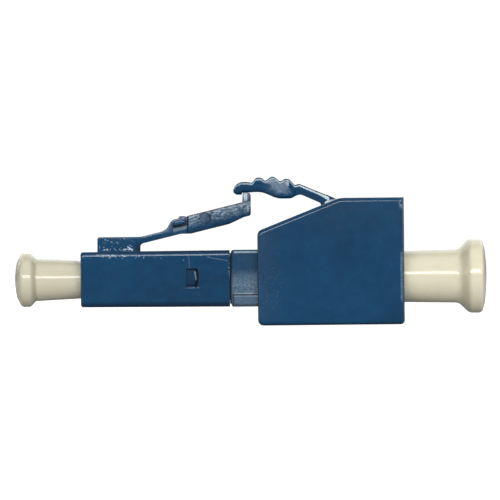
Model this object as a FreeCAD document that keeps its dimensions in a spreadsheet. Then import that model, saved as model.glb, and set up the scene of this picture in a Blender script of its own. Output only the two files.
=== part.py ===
import FreeCAD, Part
import math
import os
import re
import Sketcher

# Fixed fibre attenuator: a plug at one end, a socket at the other, and a dust cap on each.
# Lengths are millimetres and angles are degrees. X runs along the fibre from plug to socket.
# In every body, X counts from the plug's front face and Z from the fibre's axis.

SIZES = {
    # Lengths along the fibre
    "plug_length": 12.02,
    "seam_gap": 0.12,
    "neck_length": 2.14,
    "block_length": 11.82,
    # Clearances
    "close_fit": 0.02,
    "sliding_gap": 0.1,
    "end_play": 0.1,
    # Plug housing
    "plug_size": 4.47,
    "plug_draft": 0.25,
    "plug_edge_round": 0.4,
    "plug_nose_round": 0.2,
    "front_bore": 3.3,
    "front_bore_depth": 5.2,
    "stop_web": 0.8,
    "web_gap": 0.225,
    "collar_gap": 0.16,
    "window_setback": 3.52,
    "window_length": 0.92,
    "window_height": 1.44,
    "window_rise": 0.1,
    "window_bow": 2.2,
    # Latch and the root that carries it
    "latch_pivot_x": 4.77,
    "latch_lift": 0.885,
    "latch_swing": 10.0,
    "lip_margin": 5.0,
    "root_front": 1.36,
    "root_width": 2.5,
    "root_round": 0.18,
    "root_edge_round": 0.12,
    "latch_thickness": 0.55,
    "flexure_width": 2.5,
    "ramp_foot_x": 6.7,
    "ramp_top_x": 7.24,
    "ramp_round": 0.3,
    "step_front_x": 8.1,
    "step_run": 0.8,
    "handle_width": 3.0,
    "handle_front_x": 8.68,
    "handle_rise": 1.0,
    "handle_drop": 0.455,
    "heel_run": 1.75,
    "heel_land": 0.57,
    "heel_drop": 0.2,
    "tab_length": 0.67,
    "tab_height": 0.744,
    "tab_gap": 0.06,
    "tab_round": 0.2,
    "ear_front": 2.75,
    "ear_length": 1.35,
    "ear_slant": 0.4,
    "ear_low": 0.44,
    "ear_height": 0.53,
    "ear_width": 4.0,
    "ear_round": 0.15,
    "mark_reach": 5.59,
    "mark_lift": 0.47,
    "mark_diameter": 0.92,
    "mark_depth": 0.05,
    # Inner body
    "tongue_size": 3.5,
    "tongue_length": 4.24,
    "pocket_gap": 0.09,
    "spring_wall": 0.7,
    "ferrule_gap": 0.125,
    "neck_height": 4.6,
    "neck_width": 4.36,
    "neck_round": 0.2,
    "shoulder_size": 4.1,
    "rail_width": 4.66,
    "rail_height": 0.95,
    "rail_setback": 0.22,
    "rail_round": 0.12,
    "stub_length": 1.3,
    "lug_length": 0.8,
    "lug_sink": 0.1,
    "lug_round": 0.2,
    # Receptacle block
    "axis_height": 3.83,
    "block_width": 6.1,
    "block_height": 10.24,
    "brow_height": 7.61,
    "slope_run": 6.64,
    "brow_round": 0.55,
    "heel_round": 0.45,
    "tail_round": 0.36,
    "crest_round": 2.0,
    "block_edge_round": 0.32,
    "port_size": 4.6,
    "port_lead": 0.2,
    "port_floor_wall": 2.22,
    "seat_gap": 0.1,
    "slot_inset": 0.15,
    "slot_roof_wall": 0.81,
    "slot_low_rise": 1.5,
    "slot_end_wall": 0.4,
    "slot_ramp_start": 3.4,
    "slot_ramp_run": 1.8,
    "catch_thickness": 0.75,
    "catch_gap": 2.7,
    "catch_height": 1.05,
    "tube_diameter": 2.9,
    "tube_lip": 0.25,
    "lead_gap": 0.075,
    # Thumb lever and the boss that carries it
    "lever_pivot_setback": 1.2,
    "lever_pivot_sink": 0.1,
    "lever_angle": 22.9,
    "lever_thickness": 0.78,
    "lever_width": 2.1,
    "lever_root_width": 3.0,
    "lever_flare": 0.8,
    "lever_reach": 7.37,
    "pad_rear": 2.3,
    "pad_kink": 0.26,
    "pad_width": 3.24,
    "pad_tip_width": 2.3,
    "pad_corner": 0.5,
    "arch_reach": 4.42,
    "arch_rise": 1.64,
    "arch_radius": 5.5,
    "arch_front": 1.4,
    "nose_length": 0.9,
    "nose_top_rise": 1.5,
    "nose_mid_rise": 0.79,
    "nose_radius": 0.82,
    "chin_length": 0.35,
    "chin_drop": 0.24,
    "chin_radius": 0.37,
    "hook_length": 0.66,
    "underside_rise": 0.64,
    "belly_front": 2.1,
    "belly_radius": 3.27,
    "belly_round": 0.5,
    "rib_radius": 0.3,
    "rib_height": 0.27,
    "rib_spacing": 11.35,
    "first_rib_angle": -10.0,
    # Ferrule, fibre, collar, spring and sleeve
    "ferrule_diameter": 1.249,
    "ferrule_reach": 1.8,
    "ferrule_chamfer": 0.3,
    "ferrule_face": 0.8,
    "fibre_diameter": 0.125,
    "fibre_bond": 0.0005,
    "collar_across": 2.1,
    "collar_length": 1.6,
    "collar_nose": 0.25,
    "collar_step": 0.175,
    "spigot_length": 1.5,
    "wire_diameter": 0.25,
    "coil_gap": 0.06,
    "coil_turns": 5.0,
    "sleeve_length": 6.8,
    "sleeve_wall": 0.1655,
    "sleeve_slit": 14.0,
    # Dust caps
    "front_cap_reach": 5.36,
    "front_cap_depth": 3.0,
    "front_cap_rim": 4.34,
    "front_cap_rim_rear": 4.2,
    "front_cap_stem_front": 3.68,
    "front_cap_slack": 0.278,
    "front_cap_taper": 2.4,
    "front_cap_crown": 4.2,
    "front_cap_space": 0.6,
    "rear_plug_reach": 6.7,
    "rear_plug_rim": 5.98,
    "rear_plug_rim_length": 1.25,
    "rear_plug_flare": 0.95,
    "rear_plug_slack": 0.32,
    "rear_plug_taper": 1.12,
    "rear_plug_crown": 14.0,
    "rear_plug_chamfer": 0.25,
    "rear_plug_clearance": 0.7,
    "rear_plug_space": 0.4,
}

PLACES = {
    # Planes along the fibre
    "middle": "(mouth + rear_plug_reach - front_cap_reach) / 2",
    "neck_front": "plug_length + seam_gap",
    "block_front": "neck_front + neck_length",
    "mouth": "block_front + block_length",
    "port_floor": "block_front + port_floor_wall",
    "optical_plane": "port_floor + seat_gap - ferrule_reach",
    "sleeve_front": "optical_plane - sleeve_length / 2",
    "sleeve_rear": "optical_plane + sleeve_length / 2",
    "sleeve_seat": "sleeve_front - end_play",
    "sleeve_stop": "sleeve_rear + end_play",
    "tube_end": "sleeve_stop + tube_lip",
    "spring_seat": "sleeve_seat - spring_wall",
    "collar_front": "front_bore_depth + stop_web",
    "collar_rear": "collar_front + collar_length",
    "tongue_front": "neck_front - tongue_length",
    "stub_rear": "block_front + stub_length",
    "window_front": "plug_length - window_setback",
    # Holes and diameters about the fibre
    "web_hole": "ferrule_diameter + 2 * web_gap",
    "ferrule_hole": "ferrule_diameter + 2 * ferrule_gap",
    "tube_hole": "ferrule_diameter + 2 * lead_gap",
    "sleeve_diameter": "ferrule_diameter + 2 * close_fit + 2 * sleeve_wall",
    "sleeve_bore": "sleeve_diameter + sliding_gap",
    "collar_corners": "collar_across / cos(30)",
    "collar_bore": "collar_corners + 2 * collar_gap",
    "spring_pocket": "collar_corners + 2 * pocket_gap",
    "spigot_diameter": "collar_across - 2 * collar_step",
    # Latch
    "latch_half": "latch_thickness / 2",
    "latch_pivot_rise": "plug_size / 2 + latch_lift",
    "latch_run": "tab_front - latch_pivot_x",
    "latch_climb": "tab_top - tab_height - latch_pivot_rise",
    "latch_length": "sqrt(latch_run ^ 2 + latch_climb ^ 2)",
    "latch_angle": "(acos(handle_rise / latch_length) - atan(latch_run / latch_climb)) / 1 deg",
    "socket_radius": "latch_half + close_fit",
    "lip_angle": "latch_angle - latch_swing - lip_margin",
    "root_top": "latch_pivot_rise + socket_radius * cos(latch_angle)",
    "tab_front": "lever_tip + hook_length + sliding_gap",
    "tab_rear": "tab_front + tab_length",
    "tab_top": "lever_underside - tab_gap",
    # Block
    "foot": "0 - axis_height",
    "block_top": "block_height - axis_height",
    "brow": "brow_height - axis_height",
    "port_top": "port_size / 2",
    "port_wall": "(block_width - port_size) / 2",
    "port_chamfer": "min(port_lead; port_wall - block_edge_round - close_fit)",
    "slot_width": "port_size - 2 * slot_inset",
    "slot_end": "port_floor + slot_end_wall",
    "slot_roof": "block_top - slot_roof_wall",
    "catch_face": "mouth - catch_thickness",
    # Thumb lever
    "lever_pivot_x": "block_front + slope_run - lever_pivot_setback",
    "lever_pivot_rise": "block_top - lever_pivot_sink",
    "lever_half": "lever_thickness / 2",
    "lever_socket": "lever_half + close_fit",
    "lever_tip": "lever_pivot_x - lever_reach",
    "pad_end": "lever_pivot_x - pad_rear",
    "arch_x": "lever_pivot_x - arch_reach",
    "arch_top": "lever_pivot_rise + arch_rise",
    "arch_centre": "arch_top - arch_radius",
    "nose_top": "lever_pivot_rise + nose_top_rise",
    "nose_mid": "lever_pivot_rise + nose_mid_rise",
    "lever_underside": "lever_pivot_rise + underside_rise",
    "rib_circle": "arch_radius + rib_height - rib_radius",
    # Dust caps
    "cap_bore": "ferrule_diameter / 2 + close_fit",
    "cap_bore_end": "0 - ferrule_reach - front_cap_space",
    "front_cap_slope": "tan(front_cap_taper)",
    "front_cap_waist": "(front_bore - front_cap_slack) / 2",
    "rear_plug_stem": "port_size - rear_plug_slack",
    "plug_inner": "port_floor + rear_plug_clearance",
    "plug_outer": "mouth + rear_plug_reach",
    "plug_hole": "tube_diameter / 2 + close_fit",
    "plug_flare_rear": "plug_outer - rear_plug_rim_length",
    "plug_stem_rear": "plug_flare_rear - rear_plug_flare",
}

doc = FreeCAD.newDocument("fibre_attenuator")
sheet = doc.addObject("Spreadsheet::Sheet", "Sizes")
for row, (alias, value) in enumerate(SIZES.items(), start=1):
    sheet.set(f"A{row}", alias)
    sheet.set(f"B{row}", str(value))
    sheet.setAlias(f"B{row}", alias)
doc.recompute()


def formula(text):
    """Write a formula's named sizes and places out as cells of the sheet."""

    def cell(match):
        name = match.group()
        if name in SIZES:
            return "Sizes." + name
        if name in PLACES:
            return "(" + formula(PLACES[name]) + ")"
        return name

    return re.sub(r"[a-z_]+", cell, str(text))


def number(text):
    """Present value of a formula."""
    return float(sheet.evalExpression(formula(text)))


def new_body(label):
    """Body whose origin is where the fibre's axis meets the plug's front face."""
    body = doc.addObject("PartDesign::Body", label)
    body.Label = label
    body.setExpression("Placement.Base.x", formula("0 - middle"))
    body.setExpression("Placement.Base.z", formula("axis_height"))
    return body


def new_sketch(body, name, plane, offset="0"):
    """Empty sketch on one of the body's origin planes, moved along the plane's normal."""
    sketch = body.newObject("Sketcher::SketchObject", name)
    support = next(item for item in body.Origin.OriginFeatures if item.Role == plane)
    sketch.AttachmentSupport = (support, [""])
    sketch.MapMode = "FlatFace"
    sketch.setExpression("AttachmentOffset.Base.z", formula(offset))
    return sketch


def bind(sketch, kind, geometry, value, *points):
    """Add a dimension to a sketch and tie it to a formula."""
    index = sketch.addConstraint(Sketcher.Constraint(kind, *points, *geometry, number(value)))
    sketch.setExpression(f"Constraints[{index}]", formula(value))


def pin_point(sketch, geometry, across, up):
    """Hold a point of a sketch at two formulas, or on an axis where a formula is zero."""
    for kind, axis, value in (("DistanceX", -2, across), ("DistanceY", -1, up)):
        if value == "0":
            sketch.addConstraint(Sketcher.Constraint("PointOnObject", *geometry, axis))
        else:
            bind(sketch, kind, geometry, value, -1, 1)


def arc_between(first, last, radius):
    """Short arc from first to last: it turns left where the radius is positive."""
    chord = last - first
    lift = math.sqrt(radius * radius - chord.Length ** 2 / 4)
    left = FreeCAD.Vector(-chord.y, chord.x, 0).normalize()
    centre = (first + last) / 2 + left * math.copysign(lift, radius)
    ends = (first, last) if radius > 0 else (last, first)
    start, stop = (math.atan2(end.y - centre.y, end.x - centre.x) for end in ends)
    if stop < start:
        stop += 2 * math.pi
    circle = Part.Circle(centre, FreeCAD.Vector(0, 0, 1), abs(radius))
    return Part.ArcOfCircle(circle, start, stop)


def draw_loop(sketch, corners):
    """Closed outline of (across, up) corners. A third entry is the arc's radius to the next corner."""
    spots = [FreeCAD.Vector(number(corner[0]), number(corner[1]), 0) for corner in corners]
    sides = []
    for index, corner in enumerate(corners):
        first = spots[index]
        last = spots[(index + 1) % len(corners)]
        if len(corner) == 2:
            side = sketch.addGeometry(Part.LineSegment(first, last), False)
            sides.append(((side, 1), (side, 2)))
            continue
        radius = number(corner[2])
        side = sketch.addGeometry(arc_between(first, last, radius), False)
        ends = ((side, 1), (side, 2))
        sides.append(ends if radius > 0 else ends[::-1])
    for index, corner in enumerate(corners):
        before = sides[index - 1][1]
        here = sides[index][0]
        sketch.addConstraint(Sketcher.Constraint("Coincident", *before, *here))
        pin_point(sketch, here, corner[0], corner[1])
        if len(corner) == 3:
            size = corner[2].lstrip("-")
            bind(sketch, "Radius", (here[0],), size)


def draw_circle(sketch, across, up, diameter):
    """Circle about a centre."""
    centre = FreeCAD.Vector(number(across), number(up), 0)
    circle = Part.Circle(centre, FreeCAD.Vector(0, 0, 1), number(diameter) / 2)
    index = sketch.addGeometry(circle, False)
    pin_point(sketch, (index, 3), across, up)
    bind(sketch, "Diameter", (index,), diameter)


def rectangle(left, right, low, high):
    """Corners of a rectangle."""
    return [(left, low), (right, low), (right, high), (left, high)]


def square(size):
    """Corners of a square about the origin."""
    half = f"({size}) / 2"
    return rectangle(f"0 - {half}", half, f"0 - {half}", half)


def hexagon(across, up, corners):
    """Corners of a regular hexagon about a centre, from its width across corners."""
    reach = f"({corners}) / 2"
    turns = range(0, 360, 60)
    return [(f"{across} + {reach} * cos({turn})", f"{up} + {reach} * sin({turn})") for turn in turns]


def grow(body, sketch, length, middle=False):
    """Pad a sketch along its normal, or both ways about it."""
    feature = body.newObject("PartDesign::Pad", sketch.Name + "_pad")
    feature.Profile = sketch
    feature.SideType = "Symmetric" if middle else "One side"
    feature.setExpression("Length", formula(length))
    sketch.Visibility = False
    doc.recompute()
    return feature


def cut(body, sketch, length, middle=False, ahead=True):
    """Pocket a sketch along its normal, against it, or both ways about it."""
    before = body.Shape.Volume
    feature = body.newObject("PartDesign::Pocket", sketch.Name + "_cut")
    feature.Profile = sketch
    feature.SideType = "Symmetric" if middle else "One side"
    feature.Reversed = ahead and not middle
    feature.setExpression("Length", formula(length))
    doc.recompute()
    if not body.Shape.Volume < before:
        raise ValueError(f"{feature.Name} removes nothing")
    return feature


def bore(body, name, start, end, diameter):
    """Round hole about the fibre's axis from one plane to another."""
    sketch = new_sketch(body, name, "YZ_Plane", start)
    draw_circle(sketch, "0", "0", diameter)
    return cut(body, sketch, f"{end} - ({start})")


def square_pocket(body, name, start, end, size):
    """Square hole about the fibre's axis from one plane to another."""
    sketch = new_sketch(body, name, "YZ_Plane", start)
    draw_loop(sketch, square(size))
    return cut(body, sketch, f"{end} - ({start})")


def revolve(body, name, corners, angle="360"):
    """Turn an outline of (along, radius) corners about the fibre's axis."""
    sketch = new_sketch(body, name, "XZ_Plane")
    draw_loop(sketch, corners)
    feature = body.newObject("PartDesign::Revolution", name + "_turned")
    feature.Profile = sketch
    feature.ReferenceAxis = (sketch, ["H_Axis"])
    feature.setExpression("Angle", formula(angle))
    doc.recompute()
    return feature


def soften(body, size, wanted, name, kind="Fillet"):
    """Round every edge of the body that a test picks out, or chamfer it."""
    base = body.Tip
    edges = [f"Edge{i}" for i, edge in enumerate(base.Shape.Edges, start=1) if wanted(edge)]
    if not edges:
        raise ValueError(f"{name} finds no edge")
    feature = body.newObject("PartDesign::" + kind, name)
    feature.Base = (base, edges)
    feature.setExpression("Radius" if kind == "Fillet" else "Size", formula(size))
    doc.recompute()
    if "Invalid" in feature.State:
        raise ValueError(f"{name} can't be made")
    return feature


def near(value, text):
    """True where a coordinate is at a formula's value."""
    return abs(value - number(text)) < 1e-4


def runs_across(edge):
    """True for a straight edge along Y."""
    box = edge.BoundBox
    return box.YLength > 0.1 and box.XLength < 1e-4 and box.ZLength < 1e-4


def cross_edge_at(x, z):
    """Test for the edge along Y that passes through a point of the side view."""

    def wanted(edge):
        box = edge.BoundBox
        return runs_across(edge) and near(box.XMin, x) and near(box.ZMin, z)

    return wanted


def cross_edges_at(*spots):
    """Test for the edges along Y that pass through any of several points of the side view."""
    tests = [cross_edge_at(x, z) for x, z in spots]
    return lambda edge: any(test(edge) for test in tests)


def edge_on_side(half_width):
    """Test for the edges that lie in a flat side face, at a distance from the middle plane."""

    def wanted(edge):
        box = edge.BoundBox
        return box.YLength < 1e-4 and near(abs(box.YMin), half_width)

    return wanted


def on_latch(x, lift):
    """Corner at a place along X, lifted off the latch's sloping centre line."""
    height = f"latch_pivot_rise + ({x} - latch_pivot_x) * tan(latch_angle) + ({lift}) / cos(latch_angle)"
    return (x, height)


def along_latch(reach, lift):
    """Corner in the latch's own sloping axes, from its pivot."""
    x = f"latch_pivot_x + ({reach}) * cos(latch_angle) - ({lift}) * sin(latch_angle)"
    z = f"latch_pivot_rise + ({reach}) * sin(latch_angle) + ({lift}) * cos(latch_angle)"
    return (x, z)


def on_lever(x, lift):
    """Corner at a place along X, lifted off the thumb lever's sloping centre line."""
    height = f"lever_pivot_rise + (lever_pivot_x - ({x})) * tan(lever_angle) + ({lift}) / cos(lever_angle)"
    return (x, height)


def across_lever(lift):
    """Corner beside the lever's pivot, square to the lever."""
    x = f"lever_pivot_x + ({lift}) * sin(lever_angle)"
    z = f"lever_pivot_rise + ({lift}) * cos(lever_angle)"
    return (x, z)


def on_arch(x):
    """Corner on the arched top of the thumb pad."""
    return (x, f"arch_centre + sqrt(arch_radius ^ 2 - ({x} - arch_x) ^ 2)")


def make_plug_housing():
    """Hollow drafted square plug with windows, and the root of the latch on its top."""
    body = new_body("plug_housing")
    section = new_sketch(body, "PlugSection", "YZ_Plane")
    draw_loop(section, square("plug_size"))
    shell = grow(body, section, "plug_length")
    shell.setExpression("TaperAngle", formula("plug_draft"))
    doc.recompute()
    long_edge = number("plug_length") / 2
    soften(body, "plug_edge_round", lambda edge: edge.BoundBox.XLength > long_edge, "PlugEdges")
    soften(body, "plug_nose_round", lambda edge: near(edge.BoundBox.XMax, "0"), "PlugNose")

    root = new_sketch(body, "LatchRoot", "XZ_Plane")
    lip_x = "latch_pivot_x + socket_radius * sin(lip_angle)"
    lip = (lip_x, "latch_pivot_rise - socket_radius * cos(lip_angle)")
    back = ("latch_pivot_x - socket_radius", "latch_pivot_rise")
    top_lip = along_latch("0", "socket_radius")
    outline = [("root_front", "0"), (lip_x, "0")]
    outline += [lip + ("-socket_radius",), back + ("-socket_radius",), top_lip, ("root_front", "root_top")]
    draw_loop(root, outline)
    grow(body, root, "root_width", middle=True)
    soften(body, "root_round", cross_edge_at("root_front", "root_top"), "RootCorner")
    on_root_side = edge_on_side("root_width / 2")

    def along_root_top(edge):
        return on_root_side(edge) and near(edge.BoundBox.ZMin, "root_top") and edge.BoundBox.XLength > 1

    soften(body, "root_edge_round", along_root_top, "RootEdges")

    bore(body, "FrontBore", "0", "front_bore_depth", "front_bore")
    bore(body, "WebHole", "front_bore_depth", "collar_front", "web_hole")
    bore(body, "CollarBore", "collar_front", "tongue_front", "collar_bore")
    pocket_front = "tongue_front - end_play"
    square_pocket(body, "TonguePocket", pocket_front, "plug_length", "tongue_size + 2 * close_fit")

    window = new_sketch(body, "Window", "XZ_Plane")
    low = "window_rise - window_height / 2"
    high = "window_rise + window_height / 2"
    rear = "window_front + window_length"
    front = "window_front"
    draw_loop(window, [(front, low), (rear, low, "window_bow"), (rear, high), (front, high)])
    cut(body, window, "2 * plug_size", middle=True)
    return body


def make_latch_arm():
    """Latch: round knuckle, thin flexure, ramped shoulder with two ears, handle and upturned tab."""
    body = new_body("latch_arm")
    side = new_sketch(body, "LatchSide", "XZ_Plane")
    ramp_foot = on_latch("ramp_foot_x", "latch_half")
    ramp_top = on_latch("ramp_top_x", "handle_rise")
    heel_front = on_latch("tab_rear - heel_run", "0 - handle_drop")
    tab_foot = on_latch("tab_front", "handle_rise")
    outline = [
        along_latch("0", "0 - latch_half"),
        on_latch("step_front_x", "0 - latch_half"),
        on_latch("step_front_x + step_run", "0 - handle_drop"),
        heel_front,
        on_latch("tab_rear - heel_land", "0 - heel_drop"),
        on_latch("tab_rear", "0 - heel_drop"),
        ("tab_rear", "tab_top"),
        ("tab_front", "tab_top"),
        tab_foot,
        ramp_top,
        ramp_foot,
        along_latch("0", "latch_half") + ("latch_half",),
        along_latch("0 - latch_half", "0") + ("latch_half",),
    ]
    draw_loop(side, outline)
    grow(body, side, "handle_width", middle=True)
    soften(body, "ramp_round", cross_edges_at(ramp_foot, ramp_top), "RampRounds")
    soften(body, "tab_round", cross_edges_at(("tab_rear", "tab_top"), tab_foot), "TabRounds")

    plan = new_sketch(body, "FlexureSides", "XY_Plane")
    inner = "flexure_width / 2"
    outer = "handle_width"
    draw_loop(plan, rectangle("root_front", "handle_front_x", inner, outer))
    draw_loop(plan, rectangle("root_front", "handle_front_x", f"0 - {outer}", f"0 - {inner}"))
    cut(body, plan, "4 * plug_size", middle=True)

    ears = new_sketch(body, "Ears", "XZ_Plane")
    ear_top = "ear_low + ear_height"
    ear_rear = "ear_front + ear_length"
    ear_brow = along_latch("ear_front + ear_slant", ear_top)
    ear_toe = along_latch("ear_front", "ear_low")
    draw_loop(ears, [ear_toe, along_latch(ear_rear, "ear_low"), along_latch(ear_rear, ear_top), ear_brow])
    grow(body, ears, "ear_width", middle=True)
    soften(body, "ear_round", cross_edges_at(ear_toe, ear_brow), "EarRounds")

    mark = new_sketch(body, "EjectorMark", "XZ_Plane", "handle_width / 2")
    draw_circle(mark, *along_latch("mark_reach", "mark_lift"), "mark_diameter")
    near_mark = cut(body, mark, "mark_depth", ahead=False)
    mirror = body.newObject("PartDesign::Mirrored", "FarMark")
    mirror.Originals = [near_mark]
    mirror.MirrorPlane = (mark, ["H_Axis"])
    body.Tip = mirror
    doc.recompute()
    return body


def make_inner_body():
    """Carrier with the neck, its side rails, the snap lugs, and the seats of spring and sleeve."""
    body = new_body("inner_body")
    tongue = new_sketch(body, "Tongue", "YZ_Plane", "tongue_front")
    draw_loop(tongue, square("tongue_size"))
    grow(body, tongue, "stub_rear - tongue_front")
    top = "neck_height / 2"
    bottom = f"0 - {top}"
    neck = new_sketch(body, "Neck", "YZ_Plane", "neck_front")
    draw_loop(neck, rectangle("0 - neck_width / 2", "neck_width / 2", bottom, top))
    grow(body, neck, "neck_length")
    soften(body, "neck_round", cross_edges_at(("neck_front", bottom), ("neck_front", top)), "NeckCorners")

    shoulder = new_sketch(body, "Shoulder", "YZ_Plane", "plug_length + close_fit")
    draw_loop(shoulder, square("shoulder_size"))
    grow(body, shoulder, "seam_gap - close_fit")

    rail_front = "neck_front + rail_setback"
    rail_top = f"rail_height - {top}"
    rail = new_sketch(body, "Rail", "XZ_Plane")
    outline = [
        (rail_front, bottom),
        ("block_front", bottom),
        ("block_front", rail_top),
        (f"{rail_front} + rail_round", rail_top, "rail_round"),
        (rail_front, f"{rail_top} - rail_round"),
    ]
    draw_loop(rail, outline)
    grow(body, rail, "rail_width", middle=True)

    lugs = new_sketch(body, "Lugs", "XZ_Plane")
    lug_front = "window_front + close_fit"
    low = "window_rise - window_height / 2 + close_fit"
    high = "window_rise + window_height / 2 - close_fit"
    draw_loop(lugs, rectangle(lug_front, f"{lug_front} + lug_length", low, high))
    lug_span = "plug_size - 2 * lug_sink"
    grow(body, lugs, lug_span, middle=True)
    on_lug_side = edge_on_side(f"({lug_span}) / 2")

    def at_lug_rear(edge):
        return on_lug_side(edge) and near(edge.BoundBox.XMin, f"{lug_front} + lug_length")

    soften(body, "lug_round", at_lug_rear, "LugRounds")

    bore(body, "SpringPocket", "tongue_front", "spring_seat", "spring_pocket")
    bore(body, "FerruleHole", "spring_seat", "sleeve_seat", "ferrule_hole")
    bore(body, "SleeveBore", "sleeve_seat", "stub_rear", "sleeve_bore")
    return body


def make_receptacle_body():
    """Block with the sloping top, the socket with its latch slot and catches, and the lever's boss."""
    body = new_body("receptacle_body")
    side = new_sketch(body, "BlockSide", "XZ_Plane")
    brow = ("block_front", "brow")
    crest = ("block_front + slope_run", "block_top")
    heel = ("block_front", "foot")
    tail = ("mouth", "foot")
    draw_loop(side, [heel, tail, ("mouth", "block_top"), crest, brow])
    grow(body, side, "block_width", middle=True)
    rounds = {"brow_round": brow, "heel_round": heel, "tail_round": tail, "crest_round": crest}
    for radius, spot in rounds.items():
        soften(body, radius, cross_edge_at(*spot), radius.title().replace("_", ""))
    soften(body, "block_edge_round", edge_on_side("block_width / 2"), "BlockEdges")

    boss = new_sketch(body, "LeverBoss", "XZ_Plane")
    lip = across_lever("lever_socket")
    boss_rear = f"{lip[0]} + ({lip[1]} - block_top) / tan(lever_angle)"
    boss_floor = "lever_pivot_rise - 2 * lever_half"
    draw_loop(boss, [("lever_pivot_x", boss_floor), (boss_rear, boss_floor), (boss_rear, "block_top"), lip])
    grow(body, boss, "lever_root_width", middle=True)
    socket = new_sketch(body, "LeverSocket", "XZ_Plane")
    draw_circle(socket, "lever_pivot_x", "lever_pivot_rise", "2 * lever_socket")
    cut(body, socket, "lever_root_width + 2 * sliding_gap", middle=True)

    square_pocket(body, "Port", "tube_end", "mouth", "port_size")
    ring = new_sketch(body, "PortFloor", "YZ_Plane", "port_floor")
    draw_loop(ring, square("port_size"))
    draw_circle(ring, "0", "0", "tube_diameter")
    cut(body, ring, "tube_end - port_floor")

    slot = new_sketch(body, "LatchSlot", "XZ_Plane")
    ramp_rear = "mouth - slot_ramp_start"
    ramp_front = f"{ramp_rear} - slot_ramp_run"
    over_tube = "(port_top + tube_diameter / 2) / 2"
    low_roof = "port_top + slot_low_rise"
    roof = "slot_roof"
    outline = [("slot_end", over_tube), ("catch_face", over_tube), ("catch_face", roof), (ramp_rear, roof)]
    outline += [(ramp_front, low_roof), ("slot_end", low_roof)]
    draw_loop(slot, outline)
    cut(body, slot, "slot_width", middle=True)

    opening = new_sketch(body, "SlotMouth", "YZ_Plane", "catch_face")
    half_slot = "slot_width / 2"
    half_gap = "catch_gap / 2"
    catch_low = f"{roof} - catch_height"
    outline = [(f"0 - {half_slot}", "0"), (half_slot, "0"), (half_slot, catch_low), (half_gap, catch_low)]
    outline += [(half_gap, roof), (f"0 - {half_gap}", roof), (f"0 - {half_gap}", catch_low)]
    outline += [(f"0 - {half_slot}", catch_low)]
    draw_loop(opening, outline)
    cut(body, opening, "catch_thickness")
    on_port_side = edge_on_side("port_size / 2")

    def at_port_mouth(edge):
        box = edge.BoundBox
        at_floor = runs_across(edge) and near(box.ZMin, "0 - port_size / 2")
        return box.XLength < 1e-4 and near(box.XMin, "mouth") and (at_floor or on_port_side(edge))

    soften(body, "port_chamfer", at_port_mouth, "PortLead", kind="Chamfer")

    square_pocket(body, "StubPocket", "block_front", "stub_rear + end_play", "tongue_size + 2 * close_fit")
    bore(body, "TubeBore", "stub_rear", "sleeve_stop", "sleeve_bore")
    bore(body, "TubeHole", "sleeve_stop", "tube_end", "tube_hole")
    return body


def make_trigger_arm():
    """Thumb lever: round knuckle, sloping arm, arched pad with ribs, and a tip hooked over the latch."""
    body = new_body("trigger_arm")
    side = new_sketch(body, "LeverSide", "XZ_Plane")
    belly_front = ("lever_tip + belly_front", "lever_underside")
    belly_rear = on_lever("pad_end + pad_kink", "0 - lever_half")
    chin = "lever_underside - chin_drop"
    outline = [
        ("lever_tip + chin_length", chin),
        ("lever_tip + hook_length", chin),
        ("lever_tip + hook_length", "lever_underside"),
        belly_front + ("belly_radius",),
        belly_rear,
        across_lever("0 - lever_half") + ("lever_half",),
        ("lever_pivot_x + lever_half * cos(lever_angle)", "lever_pivot_rise - lever_half * sin(lever_angle)",
         "lever_half"),
        across_lever("lever_half"),
        on_lever("pad_end + pad_kink", "lever_half"),
        on_arch("pad_end") + ("arch_radius",),
        on_arch("lever_tip + arch_front"),
        ("lever_tip + nose_length", "nose_top", "nose_radius"),
        ("lever_tip", "nose_mid", "chin_radius"),
    ]
    draw_loop(side, outline)
    grow(body, side, "pad_width", middle=True)
    soften(body, "belly_round", cross_edges_at(belly_front, belly_rear), "BellyRounds")

    rib = new_sketch(body, "Rib", "XZ_Plane")
    rib.setExpression("AttachmentOffset.Base.x", formula("arch_x"))
    rib.setExpression("AttachmentOffset.Base.y", formula("arch_centre"))
    rib_x = "rib_circle * sin(first_rib_angle)"
    rib_z = "rib_circle * cos(first_rib_angle)"
    draw_circle(rib, rib_x, rib_z, "2 * rib_radius")
    first_rib = grow(body, rib, "pad_width", middle=True)
    ribs = body.newObject("PartDesign::PolarPattern", "Ribs")
    ribs.Originals = [first_rib]
    ribs.Axis = (rib, ["N_Axis"])
    ribs.Occurrences = 3
    ribs.Reversed = True
    ribs.setExpression("Angle", formula("2 * rib_spacing"))
    body.Tip = ribs
    doc.recompute()

    plan = new_sketch(body, "LeverPlan", "XY_Plane")
    ahead = "lever_tip - pad_width"
    behind = "lever_pivot_x + pad_width"
    draw_loop(plan, rectangle(ahead, behind, "0 - pad_width", "pad_width"))
    tip_half = "pad_tip_width / 2"
    arm_half = "lever_width / 2"
    root_half = "lever_root_width / 2"
    tip_side = "lever_tip + pad_corner"
    flare = "lever_pivot_x - lever_flare"
    root_end = "lever_pivot_x + lever_half + sliding_gap"
    chord = f"(pad_end - ({tip_side}))"
    bulge = "(pad_width / 2 - (pad_tip_width + lever_width) / 4)"
    side_radius = f"{chord} ^ 2 / (8 * {bulge}) + {bulge} / 2"
    near_side = [
        ("lever_tip", f"0 - ({tip_half} - pad_corner)", "pad_corner"),
        (tip_side, f"0 - {tip_half}", side_radius),
        ("pad_end", f"0 - {arm_half}"),
        (flare, f"0 - {arm_half}"),
        ("lever_pivot_x", f"0 - {root_half}"),
        (root_end, f"0 - {root_half}"),
    ]
    far_side = [
        (root_end, root_half),
        ("lever_pivot_x", root_half),
        (flare, arm_half),
        ("pad_end", arm_half, side_radius),
        (tip_side, tip_half, "pad_corner"),
        ("lever_tip", f"{tip_half} - pad_corner"),
    ]
    draw_loop(plan, near_side + far_side)
    cut(body, plan, "8 * block_height", middle=True)
    return body


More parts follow.
